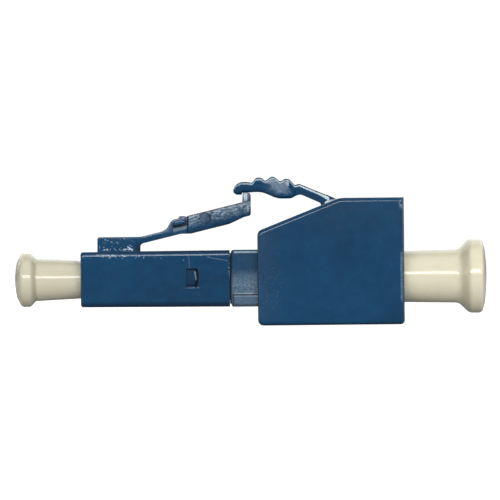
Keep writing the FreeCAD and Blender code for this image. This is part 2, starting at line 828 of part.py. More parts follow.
def make_ferrule():
    """Long ferrule, chamfered at both ends, with the fibre's fine bore."""
    body = new_body("ferrule")
    hole = "fibre_diameter / 2 + fibre_bond"
    face = "ferrule_face / 2"
    wall = "ferrule_diameter / 2"
    outline = [
        ("0 - ferrule_reach", hole),
        ("optical_plane", hole),
        ("optical_plane", face),
        ("optical_plane - ferrule_chamfer", wall),
        ("ferrule_chamfer - ferrule_reach", wall),
        ("0 - ferrule_reach", face),
    ]
    revolve(body, "FerruleSection", outline)
    return body


def make_fibre():
    """Doped fibre bonded along the ferrule."""
    body = new_body("attenuating_fibre")
    revolve(body, "FibreSection", rectangle("0 - ferrule_reach", "optical_plane", "0", "fibre_diameter / 2"))
    return body


def make_flange():
    """Six-sided collar with a cone nose, and the spigot that centres the spring."""
    body = new_body("ferrule_flange")
    collar = new_sketch(body, "Collar", "YZ_Plane", "collar_front")
    draw_loop(collar, hexagon("0", "0", "collar_corners"))
    grow(body, collar, "collar_length")
    hole = "ferrule_diameter / 2"
    nose_rear = "collar_front + collar_nose"
    trim = new_sketch(body, "NoseCone", "XZ_Plane")
    draw_loop(trim, [("collar_front", "spigot_diameter / 2"), (nose_rear, "collar_across"),
                     ("collar_front", "collar_across")])
    groove = body.newObject("PartDesign::Groove", "Nose")
    groove.Profile = trim
    groove.ReferenceAxis = (trim, ["H_Axis"])
    groove.Angle = 360
    doc.recompute()
    spigot_end = "collar_rear + spigot_length"
    revolve(body, "Spigot", rectangle("collar_rear", spigot_end, hole, "spigot_diameter / 2"))
    bore(body, "FlangeBore", "collar_front", spigot_end, "ferrule_diameter")
    return body


def make_spring():
    """Wire coil between the collar and its seat in the inner body."""
    body = new_body("float_spring")
    wire = new_sketch(body, "Wire", "XZ_Plane")
    coil_radius = "spigot_diameter / 2 + coil_gap + wire_diameter / 2"
    draw_loop(wire, hexagon("collar_rear + wire_diameter / 2", coil_radius, "wire_diameter"))
    coil = body.newObject("PartDesign::AdditiveHelix", "Coil")
    coil.Profile = wire
    coil.ReferenceAxis = (wire, ["H_Axis"])
    coil.Mode = "height-turns-angle"
    coil.setExpression("Height", formula("spring_seat - collar_rear - wire_diameter"))
    coil.setExpression("Turns", formula("coil_turns"))
    doc.recompute()
    return body


def make_sleeve():
    """Slit sleeve round the meeting ends of the two ferrules."""
    body = new_body("split_sleeve")
    inner = "ferrule_diameter / 2 + close_fit"
    section = rectangle("sleeve_front", "sleeve_rear", inner, "sleeve_diameter / 2")
    revolve(body, "SleeveSection", section, "360 - sleeve_slit")
    return body


def make_front_cap():
    """Turned cap: crowned end, rim, flare, tapering stem and the blind bore over the ferrule."""
    body = new_body("front_dust_cap")
    tip = "0 - front_cap_reach"
    rim = "front_cap_rim / 2"
    crown_edge = f"{tip} + front_cap_crown - sqrt(front_cap_crown ^ 2 - ({rim}) ^ 2)"
    stem_front = "0 - front_cap_stem_front"
    stem_rear = "front_cap_waist - front_cap_depth * front_cap_slope"
    outline = [
        (tip, "0"),
        ("cap_bore_end", "0"),
        ("cap_bore_end", "cap_bore"),
        ("front_cap_depth", "cap_bore"),
        ("front_cap_depth", stem_rear),
        (stem_front, "front_cap_waist + front_cap_stem_front * front_cap_slope"),
        ("0 - front_cap_rim_rear", rim),
        (crown_edge, rim, "front_cap_crown"),
    ]
    revolve(body, "CapSection", outline)
    return body


def make_rear_plug():
    """Turned plug: stem in the socket, blind hole over the sleeve tube, flare, rim and crowned end."""
    body = new_body("rear_dust_plug")
    rim = "rear_plug_rim / 2"
    stem = "rear_plug_stem / 2"
    crown_half = f"({rim} - rear_plug_chamfer)"
    crown_edge = f"plug_outer - rear_plug_crown + sqrt(rear_plug_crown ^ 2 - {crown_half} ^ 2)"
    stem_front = f"{stem} - (plug_stem_rear - plug_inner) * tan(rear_plug_taper)"
    hole_end = "tube_end + rear_plug_space"
    outline = [
        (hole_end, "0"),
        ("plug_outer", "0", "rear_plug_crown"),
        (crown_edge, crown_half),
        (f"{crown_edge} - rear_plug_chamfer", rim),
        ("plug_flare_rear", rim),
        ("plug_stem_rear", stem),
        ("plug_inner", stem_front),
        ("plug_inner", "plug_hole"),
        (hole_end, "plug_hole"),
    ]
    revolve(body, "PlugOutline", outline)
    return body


bodies = [
    make_plug_housing(),
    make_latch_arm(),
    make_inner_body(),
    make_receptacle_body(),
    make_trigger_arm(),
    make_ferrule(),
    make_fibre(),
    make_flange(),
    make_spring(),
    make_sleeve(),
    make_front_cap(),
    make_rear_plug(),
]
doc.recompute()

for item in doc.Objects:
    if "Invalid" in item.State or "Error" in item.State:
        raise ValueError(f"{item.Name} failed: {item.State}")
for body in bodies:
    if body.Shape.isNull() or not body.Shape.isValid() or len(body.Shape.Solids) != 1:
        raise ValueError(f"{body.Label} is not one valid solid")

os.makedirs("parts", exist_ok=True)
for body in bodies:
    body.Shape.exportStep(f"parts/{body.Label}.step")
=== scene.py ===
import math

import bmesh
import bpy
import numpy as np
from bpy.props import FloatProperty, FloatVectorProperty, IntProperty, PointerProperty
from bpy.types import Operator, Panel, PropertyGroup
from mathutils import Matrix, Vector


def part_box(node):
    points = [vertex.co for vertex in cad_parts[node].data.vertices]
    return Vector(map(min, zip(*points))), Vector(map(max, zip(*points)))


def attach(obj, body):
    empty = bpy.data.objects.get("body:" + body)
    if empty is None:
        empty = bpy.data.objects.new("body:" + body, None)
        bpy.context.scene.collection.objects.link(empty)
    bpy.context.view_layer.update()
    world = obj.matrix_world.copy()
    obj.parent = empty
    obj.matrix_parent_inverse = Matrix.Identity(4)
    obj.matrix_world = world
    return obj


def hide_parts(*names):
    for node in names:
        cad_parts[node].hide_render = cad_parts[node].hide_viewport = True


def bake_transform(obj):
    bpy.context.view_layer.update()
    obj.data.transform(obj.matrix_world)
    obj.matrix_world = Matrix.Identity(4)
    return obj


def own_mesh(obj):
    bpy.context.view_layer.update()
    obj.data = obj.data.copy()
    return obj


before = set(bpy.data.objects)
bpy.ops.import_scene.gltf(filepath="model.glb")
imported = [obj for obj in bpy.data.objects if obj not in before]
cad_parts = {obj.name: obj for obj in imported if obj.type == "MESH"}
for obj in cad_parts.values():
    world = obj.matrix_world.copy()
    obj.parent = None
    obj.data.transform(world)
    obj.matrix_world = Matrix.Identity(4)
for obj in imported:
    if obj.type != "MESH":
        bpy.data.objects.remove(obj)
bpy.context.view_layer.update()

bl_info = {
    "name": "Fibre attenuator",
    "version": (1, 0, 0),
    "blender": (4, 5, 0),
    "location": "3D View > Sidebar > Attenuator",
    "description": "Dresses the packed fibre attenuator with its mouldings, finishes and stage",
    "category": "Object",
}

MM = 0.001
PLUG_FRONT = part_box("plug_housing")[0][0]
FIBRE_HEIGHT = (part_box("ferrule")[0][2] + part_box("ferrule")[1][2]) / 2
PART_MIDDLE = Vector((0, 0, 0.006))
COVER = 0.012
WELD_GAP = 2e-8
SHARP_EDGE = math.radians(40)

# Places on the latch, in millimetres from the plug's front and the fibre

FLEXURE_X, FLEXURE_Z = 4.77, 3.12
LATCH_ANGLE = math.radians(13.47)
MARK_X, MARK_Z = 10.1, 4.88


# Settings


def number(name, description, value, **more):
    """A property with one number."""
    return FloatProperty(name=name, description=description, default=value, **more)


def millimetres(name, description, value):
    """A length property whose default is given in millimetres."""
    return number(name, description, value * MM, unit="LENGTH", precision=5)


def colour(name, description, value):
    """A colour property in linear red, green and blue."""
    return FloatVectorProperty(
        name=name, description=description, default=value, subtype="COLOR", min=0, max=1
    )


def share(name, description, value):
    """A plain number from nought to one."""
    return number(name, description, value, min=0, max=1)


class BlueMoulding(PropertyGroup):
    """Colour, gloss, wear and painted highlights of the blue mouldings."""

    gloss_blue: colour("Gloss blue", "Colour of the polished sides", (0.0025, 0.043, 0.107))
    # These two colours also carry a painted sheen on the grainy faces.
    satin_and_sheen_blue: colour("Satin blue", "Colour of the grained faces", (0.018, 0.066, 0.130))
    pale_blue: colour("Pale blue", "Colour of the grain's crests", (0.105, 0.185, 0.255))
    # This colour also paints the highlights along edges, besides scuffs.
    scuff_and_highlight_blue: colour("Scuff blue", "Colour of rubbed edges and flecks", (0.48, 0.60, 0.67))
    gloss_roughness: share("Gloss roughness", "Roughness of the polished sides", 0.135)
    satin_roughness: share("Satin roughness", "Roughness of the grained faces", 0.46)
    grain_depth: millimetres("Grain depth", "Depth of the mould grain on satin faces", 0.006)
    # Wear also scales the painted highlights along edges.
    wear: share("Wear", "How much the edges are scuffed", 1.0)


class LatchShape(PropertyGroup):
    """Sizes of the latch's bending arm, ears and handle."""

    flexure_width: millimetres("Flexure width", "Width of the thin bending part", 2.5)
    handle_width: millimetres("Handle width", "Width of the handle", 3.0)
    ear_width: millimetres("Ear width", "Width over the two catching ears", 4.0)
    edge_round: millimetres("Edge round", "Round of the long edges", 0.1)
    mark_width: millimetres("Mark width", "Diameter of the moulding mark on the handle", 0.92)
    draft: number("Draft", "Slope of the moulded sides", 0.02, subtype="ANGLE")


class LeverShape(PropertyGroup):
    """Sizes of the thumb lever."""

    pad_width: millimetres("Pad width", "Width of the thumb pad at its middle", 3.24)
    arm_width: millimetres("Arm width", "Width of the sloping arm", 2.1)
    root_width: millimetres("Root width", "Width of the flared root", 3.0)
    rib_height: millimetres("Rib height", "How far the thumb ribs stand off the pad", 0.25)
    draft: number("Draft", "Slope of the arm's sides", 0.137, subtype="ANGLE")


class CapShape(PropertyGroup):
    """Sizes and colours of the two dust caps."""

    front_ivory: colour("Front ivory", "Colour of the front cap", (0.64, 0.61, 0.465))
    rear_ivory: colour("Rear ivory", "Colour of the rear plug", (0.77, 0.73, 0.555))
    roughness: share("Roughness", "Roughness of the caps", 0.15)
    front_rim: millimetres("Front rim", "Diameter of the front cap's rim", 4.34)
    front_waist: millimetres("Front waist", "Diameter of the front cap's stem at the plug", 3.06)
    rear_rim: millimetres("Rear rim", "Diameter of the rear plug's rim", 5.98)
    rear_stem: millimetres("Rear stem", "Diameter of the rear plug's stem at its flare", 4.32)
    rim_round: millimetres("Rim round", "Round of the rims' edges", 0.36)


class OpticsFinish(PropertyGroup):
    """Colours of the ferrule, its collar, the sleeve and the spring."""

    ceramic: colour("Ceramic", "Colour of the ferrule and the sleeve", (0.82, 0.81, 0.77))
    glass: colour("Glass", "Colour of the fibre", (0.78, 0.86, 0.84))
    plated_brass: colour("Plated brass", "Colour of the ferrule's collar", (0.64, 0.60, 0.52))
    steel: colour("Steel", "Colour of the spring wire", (0.56, 0.56, 0.57))
    spring_turns: IntProperty(
        name="Spring turns", description="Turns of the float spring", default=6, min=2, max=20
    )
    wire: millimetres("Wire", "Diameter of the spring wire", 0.25)


class StageSettings(PropertyGroup):
    """Camera, lamps and floor."""

    distance: number("Distance", "Camera to fibre", 0.5, unit="LENGTH")
    lens: number("Lens", "Focal length", 444.5, unit="CAMERA")
    roll: number("Roll", "Turn of the camera", 0.0098, subtype="ANGLE")
    key_watts: number("Key", "Power of the front lamp", 2.63, unit="POWER")
    back_watts: number("Back", "Power of the lamp behind", 1.9, unit="POWER")
    top_watts: number("Top", "Power of the overhead lamp", 0.3, unit="POWER")
    side_watts: number("Sides", "Power of each side lamp", 0.5, unit="POWER")
    surround: share("Surround", "Brightness of the room", 0.1)
    floor: colour("Floor", "Colour of the floor and backdrop", (0.36, 0.36, 0.36))


GROUPS = {
    "attenuator_blue": BlueMoulding,
    "attenuator_latch": LatchShape,
    "attenuator_lever": LeverShape,
    "attenuator_caps": CapShape,
    "attenuator_optics": OpticsFinish,
    "attenuator_stage": StageSettings,
}


# Shader maths


class Shade:
    """A value in a finish's nodes: arithmetic on it adds Math nodes."""

    def __init__(self, finish, socket):
        self.finish = finish
        self.socket = socket

    def math(self, operation, *terms):
        return self.finish.node("ShaderNodeMath", {"operation": operation}, dict(enumerate(terms)))

    def __add__(self, other):
        return self.math("ADD", self, other)

    def __sub__(self, other):
        return self.math("SUBTRACT", self, other)

    def __rsub__(self, other):
        return self.math("SUBTRACT", other, self)

    def __mul__(self, other):
        return self.math("MULTIPLY", self, other)

    def __pow__(self, other):
        return self.math("POWER", self, other)

    def __abs__(self):
        return self.math("ABSOLUTE", self)

    def most(self, other):
        """The higher of two values."""
        return self.math("MAXIMUM", self, other)

    def rise(self, low, high):
        """A smooth step from 0 at low to 1 at high."""
        span = {"Value": self, "From Min": low, "From Max": high}
        return self.finish.node("ShaderNodeMapRange", {"interpolation_type": "SMOOTHSTEP"}, span)

    def fall(self, low, high):
        """A smooth step from 1 at low to 0 at high."""
        return 1 - self.rise(low, high)

    def between(self, low, high, soft):
        """1 between two values, with soft edges outside them."""
        return self.rise(low - soft, low) * self.fall(high, high + soft)

    __radd__ = __add__
    __rmul__ = __mul__


class Finish:
    """A material with one principled surface, and the nodes that feed it; place is in millimetres."""

    def __init__(self, name):
        self.material = bpy.data.materials.new(name)
        self.material.use_nodes = True
        self.tree = self.material.node_tree
        self.tree.nodes.clear()
        self.surface = self.tree.nodes.new("ShaderNodeBsdfPrincipled")
        self.output = self.tree.nodes.new("ShaderNodeOutputMaterial")
        self.tree.links.new(self.surface.outputs[0], self.output.inputs["Surface"])
        metres = self.node("ShaderNodeTexCoord", {}, {}, "Object")
        self.place = self.node("ShaderNodeVectorMath", {"operation": "SCALE"}, {0: metres, "Scale": 1 / MM})

    def feed(self, socket, value):
        """Links a value to a socket, or sets it there."""
        if isinstance(value, Shade):
            self.tree.links.new(value.socket, socket)
        else:
            socket.default_value = value

    def node(self, kind, settings, sockets, output=0):
        """Adds a node: its settings first, then the values or links of its sockets."""
        node = self.tree.nodes.new(kind)
        for name, value in settings.items():
            setattr(node, name, value)
        for name, value in sockets.items():
            self.feed(node.inputs[name], value)
        return Shade(self, node.outputs[output])

    def parts(self):
        """The three parts of the place, X measured from the plug's front and Z from the fibre."""
        split = self.node("ShaderNodeSeparateXYZ", {}, {0: self.place}).socket.node
        x, y, z = (Shade(self, socket) for socket in split.outputs)
        return x - PLUG_FRONT / MM, y, z - FIBRE_HEIGHT / MM

    def noise(self, scale, detail=2.0, roughness=0.5, stretch=None, tilt=0.0):
        """Soft noise about a half. The place is turned about Y by tilt, and then scaled along each axis by
        stretch, which draws the pattern out along the others."""
        place = self.place
        if tilt:
            settings = {"rotation_type": "Y_AXIS"}
            place = self.node("ShaderNodeVectorRotate", settings, {"Vector": place, "Angle": tilt})
        if stretch:
            place = self.node("ShaderNodeVectorMath", {"operation": "MULTIPLY"}, {0: place, 1: stretch})
        sockets = {"Vector": place, "Scale": scale, "Detail": detail, "Roughness": roughness}
        return self.node("ShaderNodeTexNoise", {}, sockets)

    def mix(self, amount, first, second):
        """Colour between two colours; the node's colour sockets are 6 and 7, and its colour output is 2."""
        colours = [value if isinstance(value, Shade) else (*value, 1) for value in (first, second)]
        sockets = {0: amount, 6: colours[0], 7: colours[1]}
        return self.node("ShaderNodeMix", {"data_type": "RGBA"}, sockets, 2)

    def bump(self, height, depth, strength):
        """A normal from a height between 0 and 1 that stands for a depth in metres."""
        return self.node("ShaderNodeBump", {}, {"Height": height, "Strength": strength, "Distance": depth})

    def set(self, **sockets):
        """Feeds the surface and gives the finished material."""
        for name, value in sockets.items():
            self.feed(self.surface.inputs[name.replace("_", " ")], value)
        return self.material


# Finishes


def toned(tint, tone):
    """A colour made darker or lighter by one factor."""
    return [part * tone for part in tint]


def strongest(first, *others):
    """The highest of several values."""
    for other in others:
        first = first.most(other)
    return first


def moulded_blue(name, look, satin=None, flecks=None, painted_shade_and_grain=None, haze=None, grain_size=4.6, polish=0.0):
    """Blue plastic: slow clouds and faint mottling, pale grain and a painted sheen on textured faces,
    flecks of wear and painted highlights, painted shade with dark grain on the latch, and a haze of
    handling.

    satin to haze are functions of the finish and the parts of its place, each giving a value
    from 0 to 1; polish takes roughness off."""
    finish = Finish(name)
    spot = (finish, *finish.parts())
    cloud = finish.noise(0.16)
    mottle = finish.noise(1.1, 4.0, 0.6)
    smear = finish.noise(2.2, 4.0, 0.6, stretch=(0.35, 1, 1.6))
    grain = finish.noise(grain_size, 4.0, 0.65)
    grain_and_sheen = satin(*spot) if satin else 0.0
    # The flecks are wear and painted highlights; both take the scuff colour.
    worn_and_highlighted = flecks(*spot) * look.wear if flecks else 0.0
    uneven = mottle.rise(0.3, 0.75) * 0.5 + cloud.rise(0.35, 0.7) * 0.5
    faces = finish.mix(uneven, toned(look.gloss_blue, 0.88), toned(look.gloss_blue, 1.3))
    # Painted sheen: where the mask is raised the faces turn to the paler grain colours.
    if satin:
        pale_grain = finish.mix(grain.rise(0.36, 0.68), look.satin_and_sheen_blue, look.pale_blue)
        faces = finish.mix(grain_and_sheen, faces, pale_grain)
    # Painted shade, and the latch's dark grain: the faces darken towards a quarter of the gloss blue.
    if painted_shade_and_grain:
        faces = finish.mix(painted_shade_and_grain(*spot), faces, toned(look.gloss_blue, 0.25))
    roughness = (smear - 0.5) * 0.1 + (look.gloss_roughness - polish)
    if haze:
        roughness = roughness + haze(*spot) * 0.09
    roughness = roughness + grain_and_sheen * (look.satin_roughness - look.gloss_roughness + (grain - 0.5) * 0.3)
    return finish.set(
        Base_Color=finish.mix(worn_and_highlighted, faces, look.scuff_and_highlight_blue),
        Roughness=roughness + worn_and_highlighted * 0.15,
        Normal=finish.bump(grain * (grain_and_sheen * 0.97 + 0.03), look.grain_depth, 0.6),
        IOR=1.43,
    )


def plug_wear_and_highlights(finish, x, y, z):
    """Flecks of wear and a painted highlight line along the plug's upper edges, scratches, and specks at
    its sill and rear.
    """
    fleck = finish.noise(6.5, stretch=(0.8, 1, 1.2))
    worst = x.between(1.9, 3.6, 0.4) * 0.09 + x.between(4.6, 6.4, 0.4) * 0.045
    along_edge = (fleck + worst).rise(0.67, 0.76) * z.between(1.72, 1.95, 0.1) * 0.7
    # Painted highlight: an even pale line along the round of the top edge.
    line = z.between(1.9, 1.97, 0.05) * x.between(0.3, 11.8, 0.2) * 0.16
    worn = z.between(1.9, 1.98, 0.05) * x.between(1.3, 2.9, 0.15) * fleck.rise(0.38, 0.52) * 0.6
    scratch = abs(z - 1.72 + (x - 10.3) * 0.19).fall(0.01, 0.07) * x.between(10.3, 11.8, 0.2) * 0.13
    upright = abs(x - 8.72 - (1.9 - z) * 0.07).fall(0.01, 0.06) * z.between(0.9, 1.9, 0.1) * 0.1
    dot = ((x - 8.31) ** 2 + (z - 1.5) ** 2).fall(0.001, 0.006) * 0.22
    rear = x.between(11.92, 12.0, 0.04) * z.between(0.1, 1.1, 0.2) * fleck.rise(0.5, 0.62) * 0.4
    sill = z.between(-0.76, -0.7, 0.04) * x.between(8.4, 9.5, 0.1) * fleck.rise(0.4, 0.6) * 0.25
    faint = finish.noise(5.0, 4.0, 0.7, stretch=(0.5, 1, 2.0)).rise(0.6, 0.75) * 0.05
    marks = strongest(along_edge, line, worn, scratch, upright, dot, rear, sill, faint)
    return marks * abs(y).rise(1.9, 2.1)


def plug_painted_shade(finish, x, y, z):
    """Painted shade on the foot of the plug's sides, and along their upper and front edges."""
    foot = z.fall(-2.25, -1.65) * 0.75
    upper = z.rise(1.98, 2.12) * 0.6
    front = x.fall(0.02, 0.16) * 0.5
    return strongest(foot, upper, front) * abs(y).rise(2.0, 2.12)


def block_wear_and_sheen(finish, x, y, z):
    """Faint rubbing all over the block, a painted sheen broken into flecks low on its front, and wear at
    its upper rear corner.
    """
    fleck = finish.noise(4.5, 4.0, 0.65, stretch=(0.7, 1, 1.6), tilt=0.9)
    # Painted sheen: pale flecks low on the block's front.
    low_front_sheen = x.between(14.3, 16.0, 0.6) * z.between(-2.2, 0.9, 0.6) * fleck.rise(0.54, 0.74) * 0.07
    corner = x.between(25.8, 26.1, 0.15) * z.between(5.7, 6.3, 0.3) * abs(y).rise(2.75, 2.95)
    worn_corner = corner * fleck.rise(0.46, 0.62) * 0.35
    return strongest(low_front_sheen, worn_corner, fleck.rise(0.58, 0.8) * 0.04)


def block_painted_shade(finish, x, y, z):
    """Painted shade along the front edge and foot of the block's sides."""
    return x.fall(14.26, 14.4).most(z.fall(-3.8, -3.6)) * abs(y).rise(2.8, 2.92) * 0.6


def block_painted_reflection(finish, x, y, z):
    """A painted reflection of the rear plug: a paler strip beside the socket's mouth."""
    return x.between(25.81, 25.93, 0.07) * z.between(-1.7, 1.7, 0.5) * abs(y).rise(2.75, 2.95) * 0.8


def block_haze(finish, x, y, z):
    """Haze towards the block's top and its front."""
    return (z.rise(0.5, 5.5) * 0.5).most(x.fall(14.3, 17.5)) * (finish.noise(0.5, 3.0) + 0.5)


def neck_satin_and_sheen(finish, x, y, z):
    """Satin on the neck, with a painted sheen that grows stronger low on its sides; the lugs in the plug's
    windows stay glossy.
    """
    low_side = z.fall(-0.45, 0.95) * (z.rise(-1.5, -1.3) * 0.2 + 0.6)
    return x.rise(12.1, 12.2) * (low_side + 0.13) * (finish.noise(1.3) * 0.5 + 0.75)


def neck_painted_shade(finish, x, y, z):
    """Painted shade in the grooves by the neck's rails, along its front and lower edges, and on the tongue
    and lugs in the windows.
    """
    over = z.between(-1.36, -1.3, 0.05) * x.rise(12.3, 12.4)
    before = x.between(12.28, 12.34, 0.04) * z.fall(-1.36, -1.3)
    front = x.fall(12.18, 12.3) * x.rise(11, 12) * 0.8
    below = z.fall(-2.16, -2.0) * abs(y).rise(1.9, 2.0) * 0.85
    tongue = abs(y).fall(1.8, 1.9) * x.fall(11, 12) * 0.8
    lug = x.fall(11, 12) * (z.between(0.72, 0.95, 0.05) + z.between(-0.65, -0.48, 0.05) + 0.3)
    return strongest(over, before, front, below, tongue, lug)


def neck_painted_highlights(finish, x, y, z):
    """Painted highlights: bright lines along the rails' and the neck's edges, and on the lugs' rear edges.
    """
    broken = finish.noise(3.0, 3.0, stretch=(0.7, 1, 1)).rise(0.2, 0.6)
    rails = (z.between(-1.25, -1.21, 0.06) + z.between(-1.46, -1.43, 0.04)) * broken * 0.32
    brow = z.between(2.07, 2.15, 0.06) * (broken * 0.3 + 0.3)
    glint = abs(x - 9.27 + (z - 0.25) * 0.12).fall(0.02, 0.09) * z.between(0.0, 0.5, 0.15) * 0.55
    return (rails.most(brow) * x.rise(12.3, 12.45)).most(glint)


def over_flexure(x, z):
    """Height over the lower edge of the latch's flexure, which climbs at the latch's angle."""
    return z - FLEXURE_Z - (x - FLEXURE_X) * math.tan(LATCH_ANGLE)


def from_mark(x, z):
    """Square of the distance from the middle of the moulding mark on the latch's handle."""
    return (x - MARK_X) ** 2 + (z - MARK_Z) ** 2


def latch_grain(finish, scale, roughness):
    """Noise drawn out along the latch's slope."""
    return finish.noise(scale, 3.0, roughness, stretch=(0.45, 1, 1.5), tilt=LATCH_ANGLE)


def latch_satin_and_sheen(finish, x, y, z):
    """Satin grain on the sides of the shoulder, the ears and the handle, with a painted sheen stronger
    towards the handle's top.
    """
    handle = x.rise(8.6, 8.75) * (over_flexure(x, z).rise(-0.35, 0.6) * 0.4 - 0.22)
    return (x.rise(6.3, 7.3) * 0.25 + handle) * finish.noise(0.8).rise(0.25, 0.65)


def latch_wear_and_highlights(finish, x, y, z):
    """Flecks on the root's sides, a painted highlight as a broken line along its foot, a slanting stroke
    there, a painted light strip under the ears, streaks of bright grain along the handle's sides, and
    painted highlights on the tab and its heel."""
    fleck = finish.noise(6.0, stretch=(0.8, 1, 1.2))
    up = over_flexure(x, z)
    # Painted highlight: a broken bright line along the root's foot.
    foot = z.between(2.37, 2.44, 0.05) * x.between(1.9, 4.1, 0.2)
    foot_highlight = foot * (fleck + x.rise(2.5, 4) * 0.1).rise(0.48, 0.6) * 0.8
    stroke = abs(z - 2.6 + (x - 3.83) * 0.69).fall(0.03, 0.09) * x.between(3.82, 4.18, 0.08)
    side = z.between(2.5, 3.3, 0.1) * x.between(1.6, 4.2, 0.2) * fleck.rise(0.64, 0.72) * 0.55
    # Painted light: a pale band on the arm's side under the ears.
    strip = x.between(7.6, 8.5, 0.2) * up.between(0.04, 0.22, 0.1) * 0.25
    off_mark = from_mark(x, z).rise(0.2, 0.29) * 0.85 + 0.15
    handle = x.rise(8.72, 8.8) * up.rise(-0.2, 0.75) * up.fall(0.9, 1.05) * off_mark
    streaks = handle * latch_grain(finish, 6.5, 0.65).rise(0.43, 0.66) * 0.55
    # Painted highlights on the tab and its heel.
    tab = x.between(13.25, 13.46, 0.08) * z.rise(6.1, 6.45) * 0.75
    heel = x.between(13.48, 13.58, 0.06) * z.between(5.4, 5.9, 0.1) * 0.4
    marks = strongest(foot_highlight, stroke, side, strip, streaks, tab, heel)
    return marks * (abs(y) - x.rise(8.62, 8.72) * 0.25).rise(1.1, 1.2)


def latch_painted_shade_and_grain(finish, x, y, z):
    """Painted shade at the rim of the moulding mark, the steps before the handle and the tab, the hollow
    under the flexure, under the ears and along the handle's edges; and the handle's dark grain."""
    across = from_mark(x, z)
    upper_right = (x + z - MARK_X - MARK_Z).rise(-0.5, 0.4)
    mark = across.fall(0.02, 0.12) * 0.3 + across.between(0.14, 0.24, 0.04) * (upper_right * 0.4 + 0.5)
    step = x.between(8.6, 8.68, 0.03) * 0.8
    tab = (x.between(13.08, 13.14, 0.06) * z.rise(6.0, 6.2)).most(x.rise(13.6, 13.68)) * 0.7
    hollow = x.rise(4.2, 4.7) * x.fall(4.9, 5.2) * z.fall(2.5, 3.15) * 0.8
    up = over_flexure(x, z)
    ears = x.between(7.45, 8.45, 0.15) * up.between(0.3, 0.48, 0.08) * 0.75
    edges = up.fall(-0.45, -0.2).most(up.between(0.94, 1.1, 0.06)) * abs(y).rise(1.3, 1.42) * 0.8
    dark_grain = latch_grain(finish, 4.2, 0.6).rise(0.48, 0.64) * 0.45
    handle = x.rise(8.7, 8.9) * dark_grain.most(edges)
    return strongest(mark, step, tab, hollow, ears, handle)


def edge_light_and_shade(finish):
    """The marks on the lever's skin: above 0 where a highlight is painted, and below 0 where shade is
    painted.
    """
    return finish.node("ShaderNodeAttribute", {"attribute_name": "rim"}, {}, "Fac")


def lever_painted_shade(finish, x, y, z):
    """Painted shade on the lever's underside where it rests on the latch's tab, and along its upper edge.
    """
    under = x.between(12.9, 13.6, 0.1) * z.fall(6.94, 7.04) * 0.8
    return under.most(edge_light_and_shade(finish) * -1)


def lever_satin_and_sheen(finish, x, y, z):
    """Satin grain with a painted sheen on the rear half of the thumb pad's sides, up to a slanting line
    before the arm.
    """
    before_arm = (x + z * 0.6).fall(21.05, 21.3)
    return x.rise(14.6, 16.3) * before_arm * z.rise(6.5, 6.95) * (finish.noise(0.9) * 0.4 + 0.6)


def lever_painted_highlight(finish, x, y, z):
    """The painted highlight along the lever's upper edge, a little broken."""
    return edge_light_and_shade(finish).most(0) * (finish.noise(2.0) * 0.4 + 0.8)


def ivory_finish(name, ivory, roughness, flare):
    """Soft ivory plastic: cloudy colour, faint turning marks, a few grey smudges, and a ring of painted
    shade at the flare, given by its start, its end and its softness along the fibre."""
    finish = Finish(name)
    x, _, _ = finish.parts()
    cloud = finish.noise(0.55, 3.0)
    rings = finish.noise(1.0, stretch=(6.0, 0.2, 0.2))
    smudge = finish.noise(1.1, 4.0, 0.6)
    pale = finish.mix(cloud.rise(0.35, 0.7) * 0.5, ivory, toned(ivory, 0.93))
    # Painted shade: the ring at the flare darkens like the smudges.
    smudges_and_shade = (smudge.rise(0.62, 0.85) * 0.25).most(x.between(*flare) * 0.6)
    smudge_and_shade_tone = [part * tone for part, tone in zip(ivory, (0.66, 0.63, 0.58))]
    return finish.set(
        Base_Color=finish.mix(smudges_and_shade, pale, smudge_and_shade_tone),
        Roughness=(smudge - 0.5) * 0.2 + roughness,
        Normal=finish.bump(rings * 0.6 + cloud * 0.4, 0.000006, 0.5),
        IOR=1.46,
        Subsurface_Weight=0.12,
        Subsurface_Radius=(0.9, 0.8, 0.5),
        Subsurface_Scale=0.0004,
    )


def ceramic_finish(name, ceramic):
    """Ground ceramic: even white with faint grinding rings along the axis."""
    finish = Finish(name)
    rings = finish.noise(1.0, 3.0, stretch=(14.0, 0.3, 0.3))
    cloud = finish.noise(2.0)
    return finish.set(
        Base_Color=finish.mix(cloud.rise(0.3, 0.8) * 0.4, ceramic, toned(ceramic, 0.94)),
        Roughness=rings * 0.12 + 0.12,
        Normal=finish.bump(rings, 0.000003, 0.4),
        IOR=2.1,
    )


def glass_finish(name, glass):
    """Polished glass of the fibre's end, slightly milky."""
    finish = Finish(name)
    cloud = finish.noise(40.0)
    return finish.set(
        Base_Color=finish.mix(cloud * 0.3, glass, toned(glass, 0.9)),
        Roughness=cloud * 0.06 + 0.03,
        Transmission_Weight=0.7,
        IOR=1.46,
    )


def metal_finish(name, metal, along):
    """Machined metal: fine lines drawn round the axis, and a slightly uneven shine."""
    finish = Finish(name)
    lines = finish.noise(1.0, 3.0, stretch=(along, 0.4, 0.4))
    stain = finish.noise(1.6, 3.0)
    return finish.set(
        Base_Color=finish.mix(stain.rise(0.4, 0.8) * 0.5, metal, toned(metal, 0.8)),
        Metallic=1.0,
        Roughness=lines * 0.2 + 0.22,
        Normal=finish.bump(lines, 0.000004, 0.5),
    )


# Surfaces


def half_mm(size):
    """Half of a length, in millimetres."""
    return size / 2 / MM


def full_turn(count):
    """Angles spaced evenly round a circle."""
    return np.linspace(0, 2 * math.pi, count, endpoint=False)


def unit(vector):
    """A vector's direction, with a length of one."""
    return vector / np.linalg.norm(vector)


def points_of(x, y, z):
    """A grid of points from three coordinates, each spread over the whole grid."""
    return np.stack(np.broadcast_arrays(x, y, z), axis=-1)


def add_object(name, data):
    """Puts new data in the scene as an object."""
    item = bpy.data.objects.new(name, data)
    bpy.context.scene.collection.objects.link(item)
    return item


